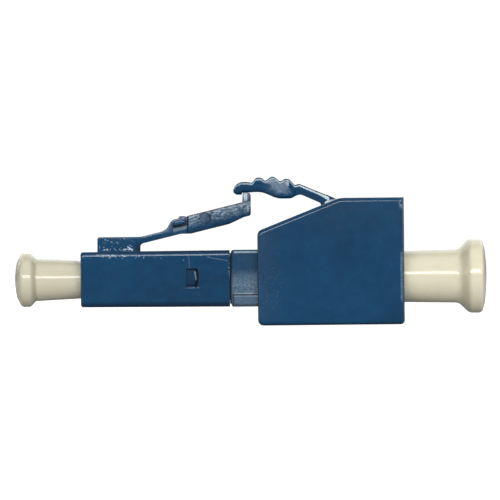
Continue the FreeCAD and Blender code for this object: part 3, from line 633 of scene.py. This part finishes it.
def make_piece(name, skins, material, node, rims=None):
    """Joins skins, each a grid of points in millimetres that closes round its second parameter, into one
    piece that stands for a CAD node. rims, one grid of values for each skin, mark its edges."""
    vertices = []
    faces = []
    count = 0
    for grid in skins:
        rows, around, _ = grid.shape
        numbers = count + np.arange(rows * around).reshape(rows, around)
        beside = np.roll(numbers, -1, axis=1)
        quads = np.stack([numbers[:-1], beside[:-1], beside[1:], numbers[1:]], axis=-1)
        vertices.append(grid.reshape(-1, 3))
        faces.append(quads.reshape(-1, 4))
        count += rows * around
    points = np.concatenate(vertices) * MM + (PLUG_FRONT, 0, FIBRE_HEIGHT)
    mesh = bpy.data.meshes.new(name)
    mesh.from_pydata(points.tolist(), [], np.concatenate(faces).tolist())
    # On the lever these marks say where highlight and shade are painted along its edges.
    if rims:
        marks = np.concatenate([rim.ravel() for rim in rims])
        mesh.attributes.new("rim", "FLOAT", "POINT").data.foreach_set("value", marks)
    welded = bmesh.new()
    welded.from_mesh(mesh)
    bmesh.ops.remove_doubles(welded, verts=welded.verts, dist=WELD_GAP)
    bmesh.ops.recalc_face_normals(welded, faces=welded.faces)
    welded.to_mesh(mesh)
    welded.free()
    mesh.shade_smooth()
    mesh.set_sharp_from_angle(angle=SHARP_EDGE)
    mesh.materials.append(material)
    piece = add_object(name, mesh)
    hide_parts(node)
    return piece


def rounded_outline(corners, steps=10):
    """An outline whose corners (across, up, round) are replaced by arcs that touch both neighbouring runs.

    The arc of a corner with angle t between its runs starts at round / tan(t / 2) from the corner."""
    spots = np.array([corner[:2] for corner in corners], float)
    outline = [spots[:1]]
    for index in range(1, len(corners) - 1):
        spot, radius = spots[index], corners[index][2]
        back = unit(spots[index - 1] - spot)
        ahead = unit(spots[index + 1] - spot)
        half = math.acos(np.clip(back @ ahead, -1, 1)) / 2
        if radius == 0 or half > math.radians(89.9):
            outline.append(spots[index:index + 1])
            continue
        inward = unit(back + ahead)
        centre = spot + inward * radius / math.sin(half)
        turn = np.linspace(half - math.pi / 2, math.pi / 2 - half, steps)[:, None]
        cross = unit(ahead - back)
        outline.append(centre - inward * radius * np.cos(turn) + cross * radius * np.sin(turn))
    outline.append(spots[-1:])
    return np.concatenate(outline)


def arc_height(x, first, last, radius, side):
    """Height of the circular arc of a radius through two places, bulging up on side 1 and down on -1."""
    first, last = np.array(first), np.array(last)
    chord = last - first
    length = np.linalg.norm(chord)
    square_off = np.array([-chord[1], chord[0]]) / length
    centre = (first + last) / 2 - side * square_off * math.sqrt(radius ** 2 - length ** 2 / 4)
    return centre[1] + side * np.sqrt(np.maximum(radius ** 2 - (x - centre[0]) ** 2, 0))


def soft_line(x, knots, window):
    """Height of straight lines through knots, averaged over a window so that the corners are round."""
    places, heights = np.array(knots, float).T
    offsets = np.linspace(-1, 1, 15)
    weights = np.cos(offsets * math.pi / 2) ** 2
    spread = x[:, None] + offsets * window / 2
    return np.interp(spread, places, heights) @ (weights / weights.sum())


def wave_line(x, knots):
    """Height of a smooth wave through knots, level at every knot: the share t of each run is eased by
    t ** 3 * (6 * t ** 2 - 15 * t + 10)."""
    places, heights = np.array(knots, float).T
    run = np.clip(np.searchsorted(places, x, side="right") - 1, 0, len(places) - 2)
    t = np.clip((x - places[run]) / (places[run + 1] - places[run]), 0, 1)
    return heights[run] + (heights[run + 1] - heights[run]) * t ** 3 * (6 * t ** 2 - 15 * t + 10)


def corner_round(x, end, radius):
    """How far a line falls over the last stretch before an end, as a quarter circle of a radius."""
    run = np.clip(radius - np.abs(end - x), 0, radius)
    return radius - np.sqrt(radius ** 2 - run ** 2)


def eased(start, end, count):
    """Places from start to end that crowd towards both ends, as the projection of a half turn."""
    return start + (end - start) * (1 - np.cos(np.linspace(0, math.pi, count))) / 2


def drafted_sections(x, lines, half, drafts, top_round, bottom_round, crown=1.0, steps=8):
    """Sections across X with a parting line: half as wide as given at the parting height.

    lines are the heights of the top, the parting and the bottom. Above the parting the side draws in with
    the height to the power of crown, by the first draft over all; below it, evenly by the second. Elliptic
    rounds (across, up) take off both edges."""
    def column(values):
        return np.reshape(values, (-1, 1))

    top, split, bottom, half = map(column, (*lines, half))
    upper, lower = top - split, split - bottom
    wide_top = half - upper * np.tan(column(drafts[0]))
    wide_bottom = half - lower * np.tan(column(drafts[1]))
    top_across = np.minimum(wide_top * 0.95, column(top_round[0]))
    top_rise = np.minimum(upper * 0.9, column(top_round[1]))
    low_across = np.minimum(wide_bottom * 0.95, column(bottom_round[0]))
    low_rise = np.minimum(lower * 0.9, column(bottom_round[1]))
    turn = np.linspace(0, math.pi / 2, steps)
    y_top = wide_top - top_across * (1 - np.cos(turn))
    z_top = top - top_rise * (1 - np.sin(turn))
    y_bottom = wide_bottom - low_across * (1 - np.sin(turn))
    z_bottom = bottom + low_rise * (1 - np.cos(turn))
    rise = np.array([0, 0.25, 0.5, 0.75])
    y_side = half - (half - wide_top) * rise ** crown
    z_side = split + (upper - top_rise) * rise
    middle = np.zeros_like(top)
    y = np.concatenate([middle, y_bottom, y_side, y_top, middle], axis=1)
    z = np.concatenate([bottom, z_bottom, z_side, z_top, top], axis=1)
    y = np.concatenate([y, -y[:, -2:0:-1]], axis=1)
    z = np.concatenate([z, z[:, -2:0:-1]], axis=1)
    grid = points_of(column(x), y, z)
    ends = np.repeat(grid[[0, -1]].mean(axis=1, keepdims=True), grid.shape[1], axis=1)
    return np.concatenate([ends[:1], grid, ends[1:]])


# Pieces


def latch_arm_skin(shape):
    """The latch from its root to its tab: sections across X between a lower and an upper line.

    The upper line is the root, the flexure that climbs at the latch's angle, the shoulder, the boss of the
    ears, the handle and the upturned tab. The lower line has a hollow round where the flexure leaves the
    root."""
    root_front, root_top, root_sink = 1.36 - COVER, 3.407 + COVER, 2.2
    tab_front, tab_rear, tab_top = 13.11, 13.78, 6.885
    root_face, hollow, thin = FLEXURE_X + 0.03, 0.32, 0.275
    slope, lean = math.tan(LATCH_ANGLE), 1 / math.cos(LATCH_ANGLE)
    x = np.concatenate([
        eased(root_front, 1.7, 14),
        np.linspace(1.75, root_face - 0.01, 40),
        root_face + 0.3 * np.linspace(0, 1, 16) ** 2,
        np.linspace(5.14, 8.6, 60),
        np.linspace(8.62, 8.74, 6),
        np.linspace(8.8, tab_front - 0.04, 50),
        np.linspace(tab_front - 0.03, tab_front + 0.03, 7),
        eased(tab_front + 0.05, tab_rear, 22),
    ])
    line = FLEXURE_Z + (x - FLEXURE_X) * slope
    climb = FLEXURE_Z + thin * lean - FLEXURE_X * slope
    root_end = (root_top - climb) / slope
    spine_knots = [(1, root_top), (root_end, root_top), (6.6, climb + 6.6 * slope), (7, climb + 7 * slope)]
    spine = soft_line(x, spine_knots, 0.4)
    shoulder_knots = [(6.3, 3.78), (6.62, 3.86), (6.98, 4.07), (7.26, 4.58), (7.5, 4.8), (7.9, 4.88)]
    shoulder = soft_line(x, shoulder_knots, 0.24)
    boss = wave_line(x, [(7.84, 4.87), (8.06, 5.06), (8.3, 5.06), (8.64, 5.02)])
    handle = line + lean
    top = np.select([x < 6.5, x < 7.84, x < 8.64], [spine, shoulder, boss], handle)
    top = top - corner_round(x, root_front, 0.19) * (x < 2)
    tab_rise = np.clip((x - tab_front + 0.02) / 0.04, 0, 1)
    top = top + (tab_top - corner_round(x, tab_rear, 0.22) - top) * tab_rise

    depth_knots = [(4, thin), (8.1, thin), (8.9, 0.455), (12.03, 0.455), (13.21, 0.2), (14, 0.2)]
    under = line - soft_line(x, depth_knots, 0.3) * lean
    hollow_x = root_face + hollow
    hollow_z = FLEXURE_Z + (hollow_x - FLEXURE_X) * slope - (thin + hollow) * lean
    hollow_end = hollow_x - hollow * math.sin(LATCH_ANGLE)
    arch = hollow_z + np.sqrt(np.maximum(hollow ** 2 - (x - hollow_x) ** 2, 0))
    bottom = np.select([x < root_face, x < hollow_end], [root_sink, arch], under)
    bottom = bottom + corner_round(x, tab_rear, 0.18)

    half = np.interp(x, [8.62, 8.72], [half_mm(shape.flexure_width) + COVER, half_mm(shape.handle_width)])
    half = half - corner_round(x, tab_rear, 0.1) - corner_round(x, root_front, 0.06)
    share_below = np.interp(x, [4.7, 5.2, 6.6, 7.2, 8.6, 8.8], [0.05, 0.5, 0.5, 0.25, 0.25, 0.2])
    lines = (top, bottom + (top - bottom) * share_below, bottom)
    up = np.interp(x, [4.8, 5.2, 6.6, 7.6], [0.0, 0.05, 0.05, shape.draft])
    down = np.interp(x, [4.8, 5.2], [0.0, 0.42])
    edge = shape.edge_round / MM * np.interp(x, [4.9, 5.2, 6.6, 7.2], [1, 0.4, 0.4, 1])
    return drafted_sections(x, lines, half, (up, down), (edge, edge), (edge, edge), crown=2.0)


def signed_power(value, exponent):
    """A power that keeps the sign of its base."""
    return np.sign(value) * np.abs(value) ** exponent


def ear_bar_skin(shape):
    """The two catching ears in one bar: a rounded box, the signed powers of the sines and cosines of two
    angles, turned to the latch's angle."""
    reach, lift, along, rise = 3.43, 0.66, 0.6, 0.28
    u = np.linspace(-math.pi / 2, math.pi / 2, 25)[:, None]
    v = full_turn(48)
    ring = signed_power(np.cos(u), 0.4)
    forward = reach + along * ring * signed_power(np.cos(v), 0.6)
    upward = lift + rise * ring * signed_power(np.sin(v), 0.8)
    sideways = half_mm(shape.ear_width) * signed_power(np.sin(u), 0.35)
    x = FLEXURE_X + forward * math.cos(LATCH_ANGLE) - upward * math.sin(LATCH_ANGLE)
    z = FLEXURE_Z + forward * math.sin(LATCH_ANGLE) + upward * math.cos(LATCH_ANGLE)
    return points_of(x, sideways, z)


def mark_rims(shape):
    """The rims of the moulding marks on the handle's sides: ellipses carried round leaning circles."""
    rim_half, rim_rise, sink = 0.035, 0.03, 0.035
    u = np.linspace(0, 2 * math.pi, 49)[:, None]
    v = full_turn(10)
    spread = half_mm(shape.mark_width) + rim_half * np.cos(v)
    out = rim_rise * np.sin(v) - spread * np.sin(u) * math.tan(shape.draft * 0.6)
    rims = []
    for side in (-1, 1):
        y = side * (half_mm(shape.handle_width) - sink + out)
        rims.append(points_of(MARK_X + spread * np.cos(u), y, MARK_Z + spread * np.sin(u)))
    return rims


def lever_arm_skin(shape):
    """The thumb lever: sections across X between a lower and an upper line.

    The upper line is a rounded nose, then soft runs over the three thumb ribs and down the arm; the lower
    line is the hooked chin, a wave along the belly and the arm's keel. The half width bulges as half a sine
    over the pad and flares at the root. A band along the upper edge leans back."""
    tip, pad_end, root, end = 12.36, 17.42, 19.72, 20.9
    x = np.concatenate([
        tip + (12.96 - tip) * np.linspace(0, 1, 24) ** 2,
        np.linspace(12.98, 13.1, 13),
        np.linspace(13.12, 17.9, 200),
        np.linspace(17.95, 19.2, 20),
        np.linspace(19.22, end, 50),
    ])
    front, nose_end, chin_end = (tip, 7.1), (13.28, 7.77), (12.66, 6.755)
    rib = shape.rib_height / MM
    ribs = [
        (13.2, 7.77), (13.5, 7.775), (13.92, 7.7),
        (14.17, 7.83 + rib), (14.4, 7.88 + rib), (14.67, 7.84 + rib),
        (14.96, 7.83),
        (15.39, 7.9 + rib), (15.53, 7.95 + rib), (15.71, 7.9 + rib),
        (16.17, 7.77),
        (16.51, 7.74 + rib), (16.65, 7.765 + rib), (16.95, 7.69 + rib),
        (17.3, 7.53), (pad_end, 7.49),
        (17.67, 7.6), (20.7, 6.325), (21.2, 6.115),
    ]
    nose = arc_height(x, front, nose_end, 0.82, 1)
    top = np.where(x < nose_end[0], nose, soft_line(x, ribs, 0.3))

    waves = [
        chin_end, (13.04, 6.755), (13.09, 6.915), (13.35, 6.915),
        (14.2, 6.955), (16.46, 6.405), (16.85, 6.41), (17.8, 6.7),
    ]
    chin = arc_height(x, front, chin_end, 0.36, -1)
    keel = soft_line(x, [(17.2, 6.7), (17.9, 6.7), (19.42, 6.03), (19.57, 5.6), (21, 5.6)], 0.2)
    bottom = np.select([x < chin_end[0], x < 17.8], [chin, wave_line(x, waves)], keel)

    pad_half, arm_half, root_half = map(half_mm, (shape.pad_width, shape.arm_width, shape.root_width))
    tip_half, blunt = 1.15, 0.5
    bulge = np.sin(np.clip((x - tip - blunt) / (pad_end - tip - blunt), 0, 1) * math.pi)
    ends = np.interp(x, [tip + blunt, pad_end], [tip_half, arm_half])
    pad = ends + bulge ** 0.6 * (pad_half - (tip_half + arm_half) / 2) - corner_round(x, tip, blunt)
    flare = np.interp(x, [18.5, root + 0.1], [arm_half, root_half + COVER])
    half = np.where(x > pad_end, flare, pad)

    on_pad = 1 - np.clip((x - 16.9) / 0.6, 0, 1)
    band = np.interp(x, [tip, 13, 17.2, 17.8, 19.2, 20], [0.2, 0.22, 0.22, 0.23, 0.25, 0.4])
    split = np.maximum(top - band, bottom + (top - bottom) * 0.3)
    belly = np.clip(1.2 - np.abs(x - 16.1) / 0.9, 0, 1)
    drafts = (shape.draft, 0.3 - on_pad * 0.26 - belly * 0.12)
    low_round = 0.08 + 0.4 * on_pad
    return drafted_sections(x, (top, split, bottom), half, drafts, (0.1, 0.1), (low_round * 0.7, low_round))


def lever_foot_skin(shape):
    """The low step at the lever's root: sections across X that follow the block's slope."""
    start, end = 19.74, 20.78
    x = np.concatenate([eased(start, 20.12, 10), np.linspace(20.16, 20.82, 20)])
    slope = 3.78 + (x - 14.28) * (6.41 - 3.78) / 6.64
    top = slope + 0.22 * np.clip((end - x) / 0.86, 0, 1) - corner_round(x, start, 0.18)
    half = np.full_like(x, half_mm(shape.root_width) + 0.06)
    edge = (0.03, 0.03)
    return drafted_sections(x, (top, slope - 0.02, slope - 0.2), half, (shape.draft, 0.0), edge, edge)


def lever_edge_light_and_shade(skins):
    """Marks on the sections of the lever and its step: above 0 along a band of painted highlight, which
    grows stronger from the pad to the arm, and below 0 along painted shade on the edge over it."""
    band_rows, edge_rows = np.arange(10, 14), np.arange(15, 20)
    marks = []
    for skin, on_pad, on_arm in zip(skins, (0.55, 0.7), (1.0, 0.7)):
        strength = np.interp(skin[:, :1, 0], [17.2, 18], [on_pad, on_arm])
        mark = np.zeros(skin.shape[:2])
        for side in (-1, 1):
            mark[:, side * band_rows] = strength
            mark[:, side * edge_rows] = -0.9
        marks.append(mark)
    return marks


def turned_cap(tip, corners):
    """A surface of revolution about the fibre: each point (x, r) of an outline goes round a circle. The
    outline is a shallow parabola from the tip to the first corner, and then the rounded corners."""
    start, dome_half, _ = corners[0]
    share_out = np.linspace(0, 1, 14)[:-1]
    dome = np.stack([tip + (start - tip) * share_out ** 2, dome_half * share_out], axis=-1)
    x, radius = np.concatenate([dome, rounded_outline(corners)]).T[:, :, None]
    angle = full_turn(96)
    return points_of(x, radius * np.cos(angle), radius * np.sin(angle))


def front_cap_skin(caps):
    """The front dust cap: domed rim, flare and tapering stem, with a blind bore for the ferrule."""
    rim, waist = half_mm(caps.front_rim), half_mm(caps.front_waist)
    edge, bore = caps.rim_round / MM, 0.6445
    taper = math.tan(math.radians(2.8))
    return turned_cap(-5.36, [
        (-5.21, rim * 0.645, 0),
        (-4.83, rim, edge),
        (-4.1, rim, edge),
        (-3.68, waist + 3.68 * taper, 0.16),
        (-2.6, waist + 2.6 * taper, 0),
        (3.0, waist - 3.0 * taper, 0.15),
        (3.0, bore, 0.08),
        (-2.4, bore, 0),
        (-2.4, 0, 0),
    ])


def rear_plug_skin(caps):
    """The rear dust plug: domed rim, flare and long tapering stem, hollow where the sleeve tube stands."""
    rim, stem = half_mm(caps.rear_rim), half_mm(caps.rear_stem)
    edge, hole = caps.rim_round / MM, 1.47
    taper = math.tan(math.radians(1.12))
    return turned_cap(32.8, [
        (32.66, rim * 0.72, 0),
        (32.43, rim, edge),
        (31.38, rim, edge * 2),
        (30.53, stem, 0.7),
        (29.3, stem - 1.2 * taper, 0),
        (17.2, stem - 13.3 * taper, 0.15),
        (17.2, hole, 0.08),
        (18.95, hole, 0),
        (18.95, 0, 0),
    ])


def spring_skin(optics):
    """The float spring: a round wire carried along a helix about the fibre, its end turns drawn flat."""
    low, high = (np.array(corner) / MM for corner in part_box("float_spring"))
    wire = half_mm(optics.wire)
    radius = (high[2] - low[2]) / 2 - wire
    start = low[0] - PLUG_FRONT / MM + wire
    length = high[0] - low[0] - 2 * wire
    t = np.linspace(0, 1, 60 * optics.spring_turns)[:, None]
    angle = t * optics.spring_turns * 2 * math.pi
    pitch = np.interp(t, [0, 0.11, 0.89, 1], [0, 0.06, 0.94, 1])
    v = full_turn(12)
    swell = np.ones_like(t)
    swell[[0, -1]] = 0
    out = radius + wire * swell * np.cos(v)
    x = start + pitch * length + wire * swell * np.sin(v)
    return points_of(x, out * np.cos(angle), out * np.sin(angle))


# Stage


def stage_sheet(grey):
    """Floor and backdrop in one: a flat run, a quarter turn and an upright, carried across X."""
    near, far, bend, height, reach = -1.2, 1.6, 0.4, 2.0, 3.0
    turn = np.linspace(0, math.pi / 2, 16)
    along = np.concatenate([[near], far + bend * np.sin(turn), [far + bend]])
    up = np.concatenate([[0.0], bend * (1 - np.cos(turn)), [height]])
    points = [(side * reach, y, z) for y, z in zip(along, up) for side in (-1, 1)]
    faces = [(first, first + 1, first + 3, first + 2) for first in range(0, len(points) - 2, 2)]
    mesh = bpy.data.meshes.new("pale_sweep")
    mesh.from_pydata(points, [], faces)
    mesh.shade_smooth()
    mesh.materials.append(floor_finish("pale_floor", grey))
    sheet = add_object("pale_sweep", mesh)


def floor_finish(name, grey):
    """A matt grey floor that looks white, a little brighter away from the part, and shows dimly in its
    gloss."""
    finish = Finish(name)
    rays = finish.node("ShaderNodeLightPath", {}, {}).socket.node
    kinds = ("Is Camera Ray", "Is Transmission Ray", "Is Glossy Ray")
    camera, through, glossy = (Shade(finish, rays.outputs[kind]) for kind in kinds)
    seen = strongest(camera, through, glossy * 0.1)
    matt = finish.node("ShaderNodeBsdfDiffuse", {}, {"Color": (*grey, 1)})
    _, y, z = finish.parts()
    white = abs(y).rise(15, 70).most(z.rise(-3, 16)) * 0.15 + 0.85
    lit = finish.node("ShaderNodeEmission", {}, {"Color": (1, 1, 1, 1), "Strength": seen * white})
    both = finish.node("ShaderNodeAddShader", {}, {0: matt, 1: lit})
    finish.feed(finish.output.inputs["Surface"], both)
    return finish.material


def add_lamp(name, watts, size, spot):
    """A rectangular lamp at a spot, turned to the part's middle."""
    lamp = bpy.data.lights.new(name, "AREA")
    lamp.shape = "RECTANGLE"
    lamp.size, lamp.size_y = size
    lamp.energy = watts
    holder = add_object(name, lamp)
    holder.location = spot
    holder.rotation_euler = (PART_MIDDLE - Vector(spot)).to_track_quat("-Z", "Y").to_euler()


def add_camera(lens, spot, roll):
    """A level camera square to the part's side, with a slight roll."""
    camera = bpy.data.cameras.new("side_camera")
    camera.lens = lens
    camera.sensor_width = 36
    camera.clip_start = 0.01
    holder = add_object("side_camera", camera)
    holder.location = spot
    holder.rotation_euler = (math.pi / 2, roll, 0)
    bpy.context.scene.camera = holder


def add_room(brightness):
    """An even white room that lights the part from all round."""
    world = bpy.data.worlds.new("studio_room")
    world.use_nodes = True
    background = world.node_tree.nodes["Background"]
    background.inputs["Color"].default_value = (1, 1, 1, 1)
    background.inputs["Strength"].default_value = brightness
    bpy.context.scene.world = world


# Operators


def dress_nodes(finishes):
    """Gives each CAD node its finish."""
    for node, material in finishes.items():
        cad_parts[node].material_slots[0].material = material


class ATTENUATOR_OT_shells(Operator):
    """Give the plug housing, the inner body and the receptacle block their finishes"""

    bl_idname = "attenuator.shells"
    bl_label = "Blue shells"

    def execute(self, context):
        look = context.scene.attenuator_blue
        neck_marks = (neck_satin_and_sheen, neck_painted_highlights, neck_painted_shade)
        block_marks = (block_painted_reflection, block_wear_and_sheen, block_painted_shade, block_haze)
        dress_nodes({
            "plug_housing": moulded_blue("plug_blue", look, flecks=plug_wear_and_highlights, painted_shade_and_grain=plug_painted_shade),
            "inner_body": moulded_blue("neck_blue", look, *neck_marks, grain_size=9.0),
            "receptacle_body": moulded_blue("block_blue", look, *block_marks),
        })
        return {"FINISHED"}


class ATTENUATOR_OT_latch(Operator):
    """Make the latch with its ears and handle"""

    bl_idname = "attenuator.latch"
    bl_label = "Latch"

    def execute(self, context):
        look = context.scene.attenuator_blue
        shape = context.scene.attenuator_latch
        material = moulded_blue("latch_blue", look, latch_satin_and_sheen, latch_wear_and_highlights, latch_painted_shade_and_grain, polish=-0.02)
        skins = [latch_arm_skin(shape), ear_bar_skin(shape), *mark_rims(shape)]
        latch = make_piece("moulded_latch", skins, material, "latch_arm")
        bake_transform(latch)
        return {"FINISHED"}


class ATTENUATOR_OT_lever(Operator):
    """Make the ribbed thumb lever"""

    bl_idname = "attenuator.lever"
    bl_label = "Thumb lever"

    def execute(self, context):
        look = context.scene.attenuator_blue
        shape = context.scene.attenuator_lever
        marks = (lever_satin_and_sheen, lever_painted_highlight, lever_painted_shade)
        material = moulded_blue("lever_blue", look, *marks, grain_size=2.2, polish=0.03)
        skins = [lever_arm_skin(shape), lever_foot_skin(shape)]
        rims = lever_edge_light_and_shade(skins)
        lever = make_piece("ribbed_lever", skins, material, "trigger_arm", rims)
        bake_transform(lever)
        return {"FINISHED"}


class ATTENUATOR_OT_optics(Operator):
    """Make the float spring, and give the ferrule, fibre, collar and sleeve their finishes"""

    bl_idname = "attenuator.optics"
    bl_label = "Optics"

    def execute(self, context):
        optics = context.scene.attenuator_optics
        ceramic = ceramic_finish("ground_ceramic", optics.ceramic)
        dress_nodes({
            "ferrule": ceramic,
            "split_sleeve": ceramic,
            "attenuating_fibre": glass_finish("fibre_glass", optics.glass),
            "ferrule_flange": metal_finish("plated_collar", optics.plated_brass, 9.0),
        })
        wire = metal_finish("spring_steel", optics.steel, 5.0)
        spring = make_piece("wound_spring", [spring_skin(optics)], wire, "float_spring")
        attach(spring, "housing")
        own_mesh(spring)
        return {"FINISHED"}


class ATTENUATOR_OT_caps(Operator):
    """Make the front dust cap and the rear dust plug"""

    bl_idname = "attenuator.caps"
    bl_label = "Dust caps"

    def execute(self, context):
        caps = context.scene.attenuator_caps
        front = ivory_finish("front_cap_ivory", caps.front_ivory, caps.roughness, (-3.82, -3.7, 0.25))
        rear = ivory_finish("rear_cap_ivory", caps.rear_ivory, caps.roughness, (30.95, 31.25, 0.4))
        front_skins, rear_skins = [front_cap_skin(caps)], [rear_plug_skin(caps)]
        front_cap = make_piece("turned_front_cap", front_skins, front, "front_dust_cap")
        rear_plug = make_piece("turned_rear_plug", rear_skins, rear, "rear_dust_plug")
        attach(front_cap, "front_cap")
        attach(rear_plug, "rear_plug")
        return {"FINISHED"}


class ATTENUATOR_OT_stage(Operator):
    """Set the camera, the lamps, the room and the floor"""

    bl_idname = "attenuator.stage"
    bl_label = "Stage"

    def execute(self, context):
        stage = context.scene.attenuator_stage
        add_camera(stage.lens, (-0.00004, -stage.distance, 0.0061), stage.roll)
        add_lamp("key_lamp", stage.key_watts, (0.9, 0.08), (0.03, -0.42, 0.124))
        add_lamp("back_lamp", stage.back_watts, (0.9, 0.5), (0.0, 0.45, 0.3))
        add_lamp("top_lamp", stage.top_watts, (0.5, 0.3), (0.0, -0.12, 0.42))
        for side in (-1, 1):
            add_lamp("side_lamp", stage.side_watts, (0.24, 0.24), (side * 0.5, -0.03, 0.08))
        add_room(stage.surround)
        context.scene.view_settings.view_transform = "Standard"
        stage_sheet(stage.floor)
        return {"FINISHED"}


# Panel and registration


OPERATORS = [
    ATTENUATOR_OT_shells,
    ATTENUATOR_OT_latch,
    ATTENUATOR_OT_lever,
    ATTENUATOR_OT_optics,
    ATTENUATOR_OT_caps,
    ATTENUATOR_OT_stage,
]


class ATTENUATOR_PT_panel(Panel):
    """Lists the attenuator's pieces and their settings"""

    bl_label = "Attenuator"
    bl_idname = "ATTENUATOR_PT_panel"
    bl_space_type = "VIEW_3D"
    bl_region_type = "UI"
    bl_category = "Attenuator"

    def draw(self, context):
        for operator in OPERATORS:
            self.layout.operator(operator.bl_idname)
        for name, group in GROUPS.items():
            box = self.layout.box()
            box.label(text=group.__doc__)
            for entry in group.__annotations__:
                box.prop(getattr(context.scene, name), entry)


def register():
    for part in [*GROUPS.values(), *OPERATORS, ATTENUATOR_PT_panel]:
        bpy.utils.register_class(part)
    for name, group in GROUPS.items():
        setattr(bpy.types.Scene, name, PointerProperty(type=group))


def unregister():
    for name in GROUPS:
        delattr(bpy.types.Scene, name)
    for part in reversed([*GROUPS.values(), *OPERATORS, ATTENUATOR_PT_panel]):
        bpy.utils.unregister_class(part)


def main():
    register()
    bpy.ops.attenuator.shells()
    bpy.ops.attenuator.latch()
    bpy.ops.attenuator.lever()
    bpy.ops.attenuator.optics()
    bpy.ops.attenuator.caps()
    bpy.ops.attenuator.stage()


if __name__ == "__main__":
    main()
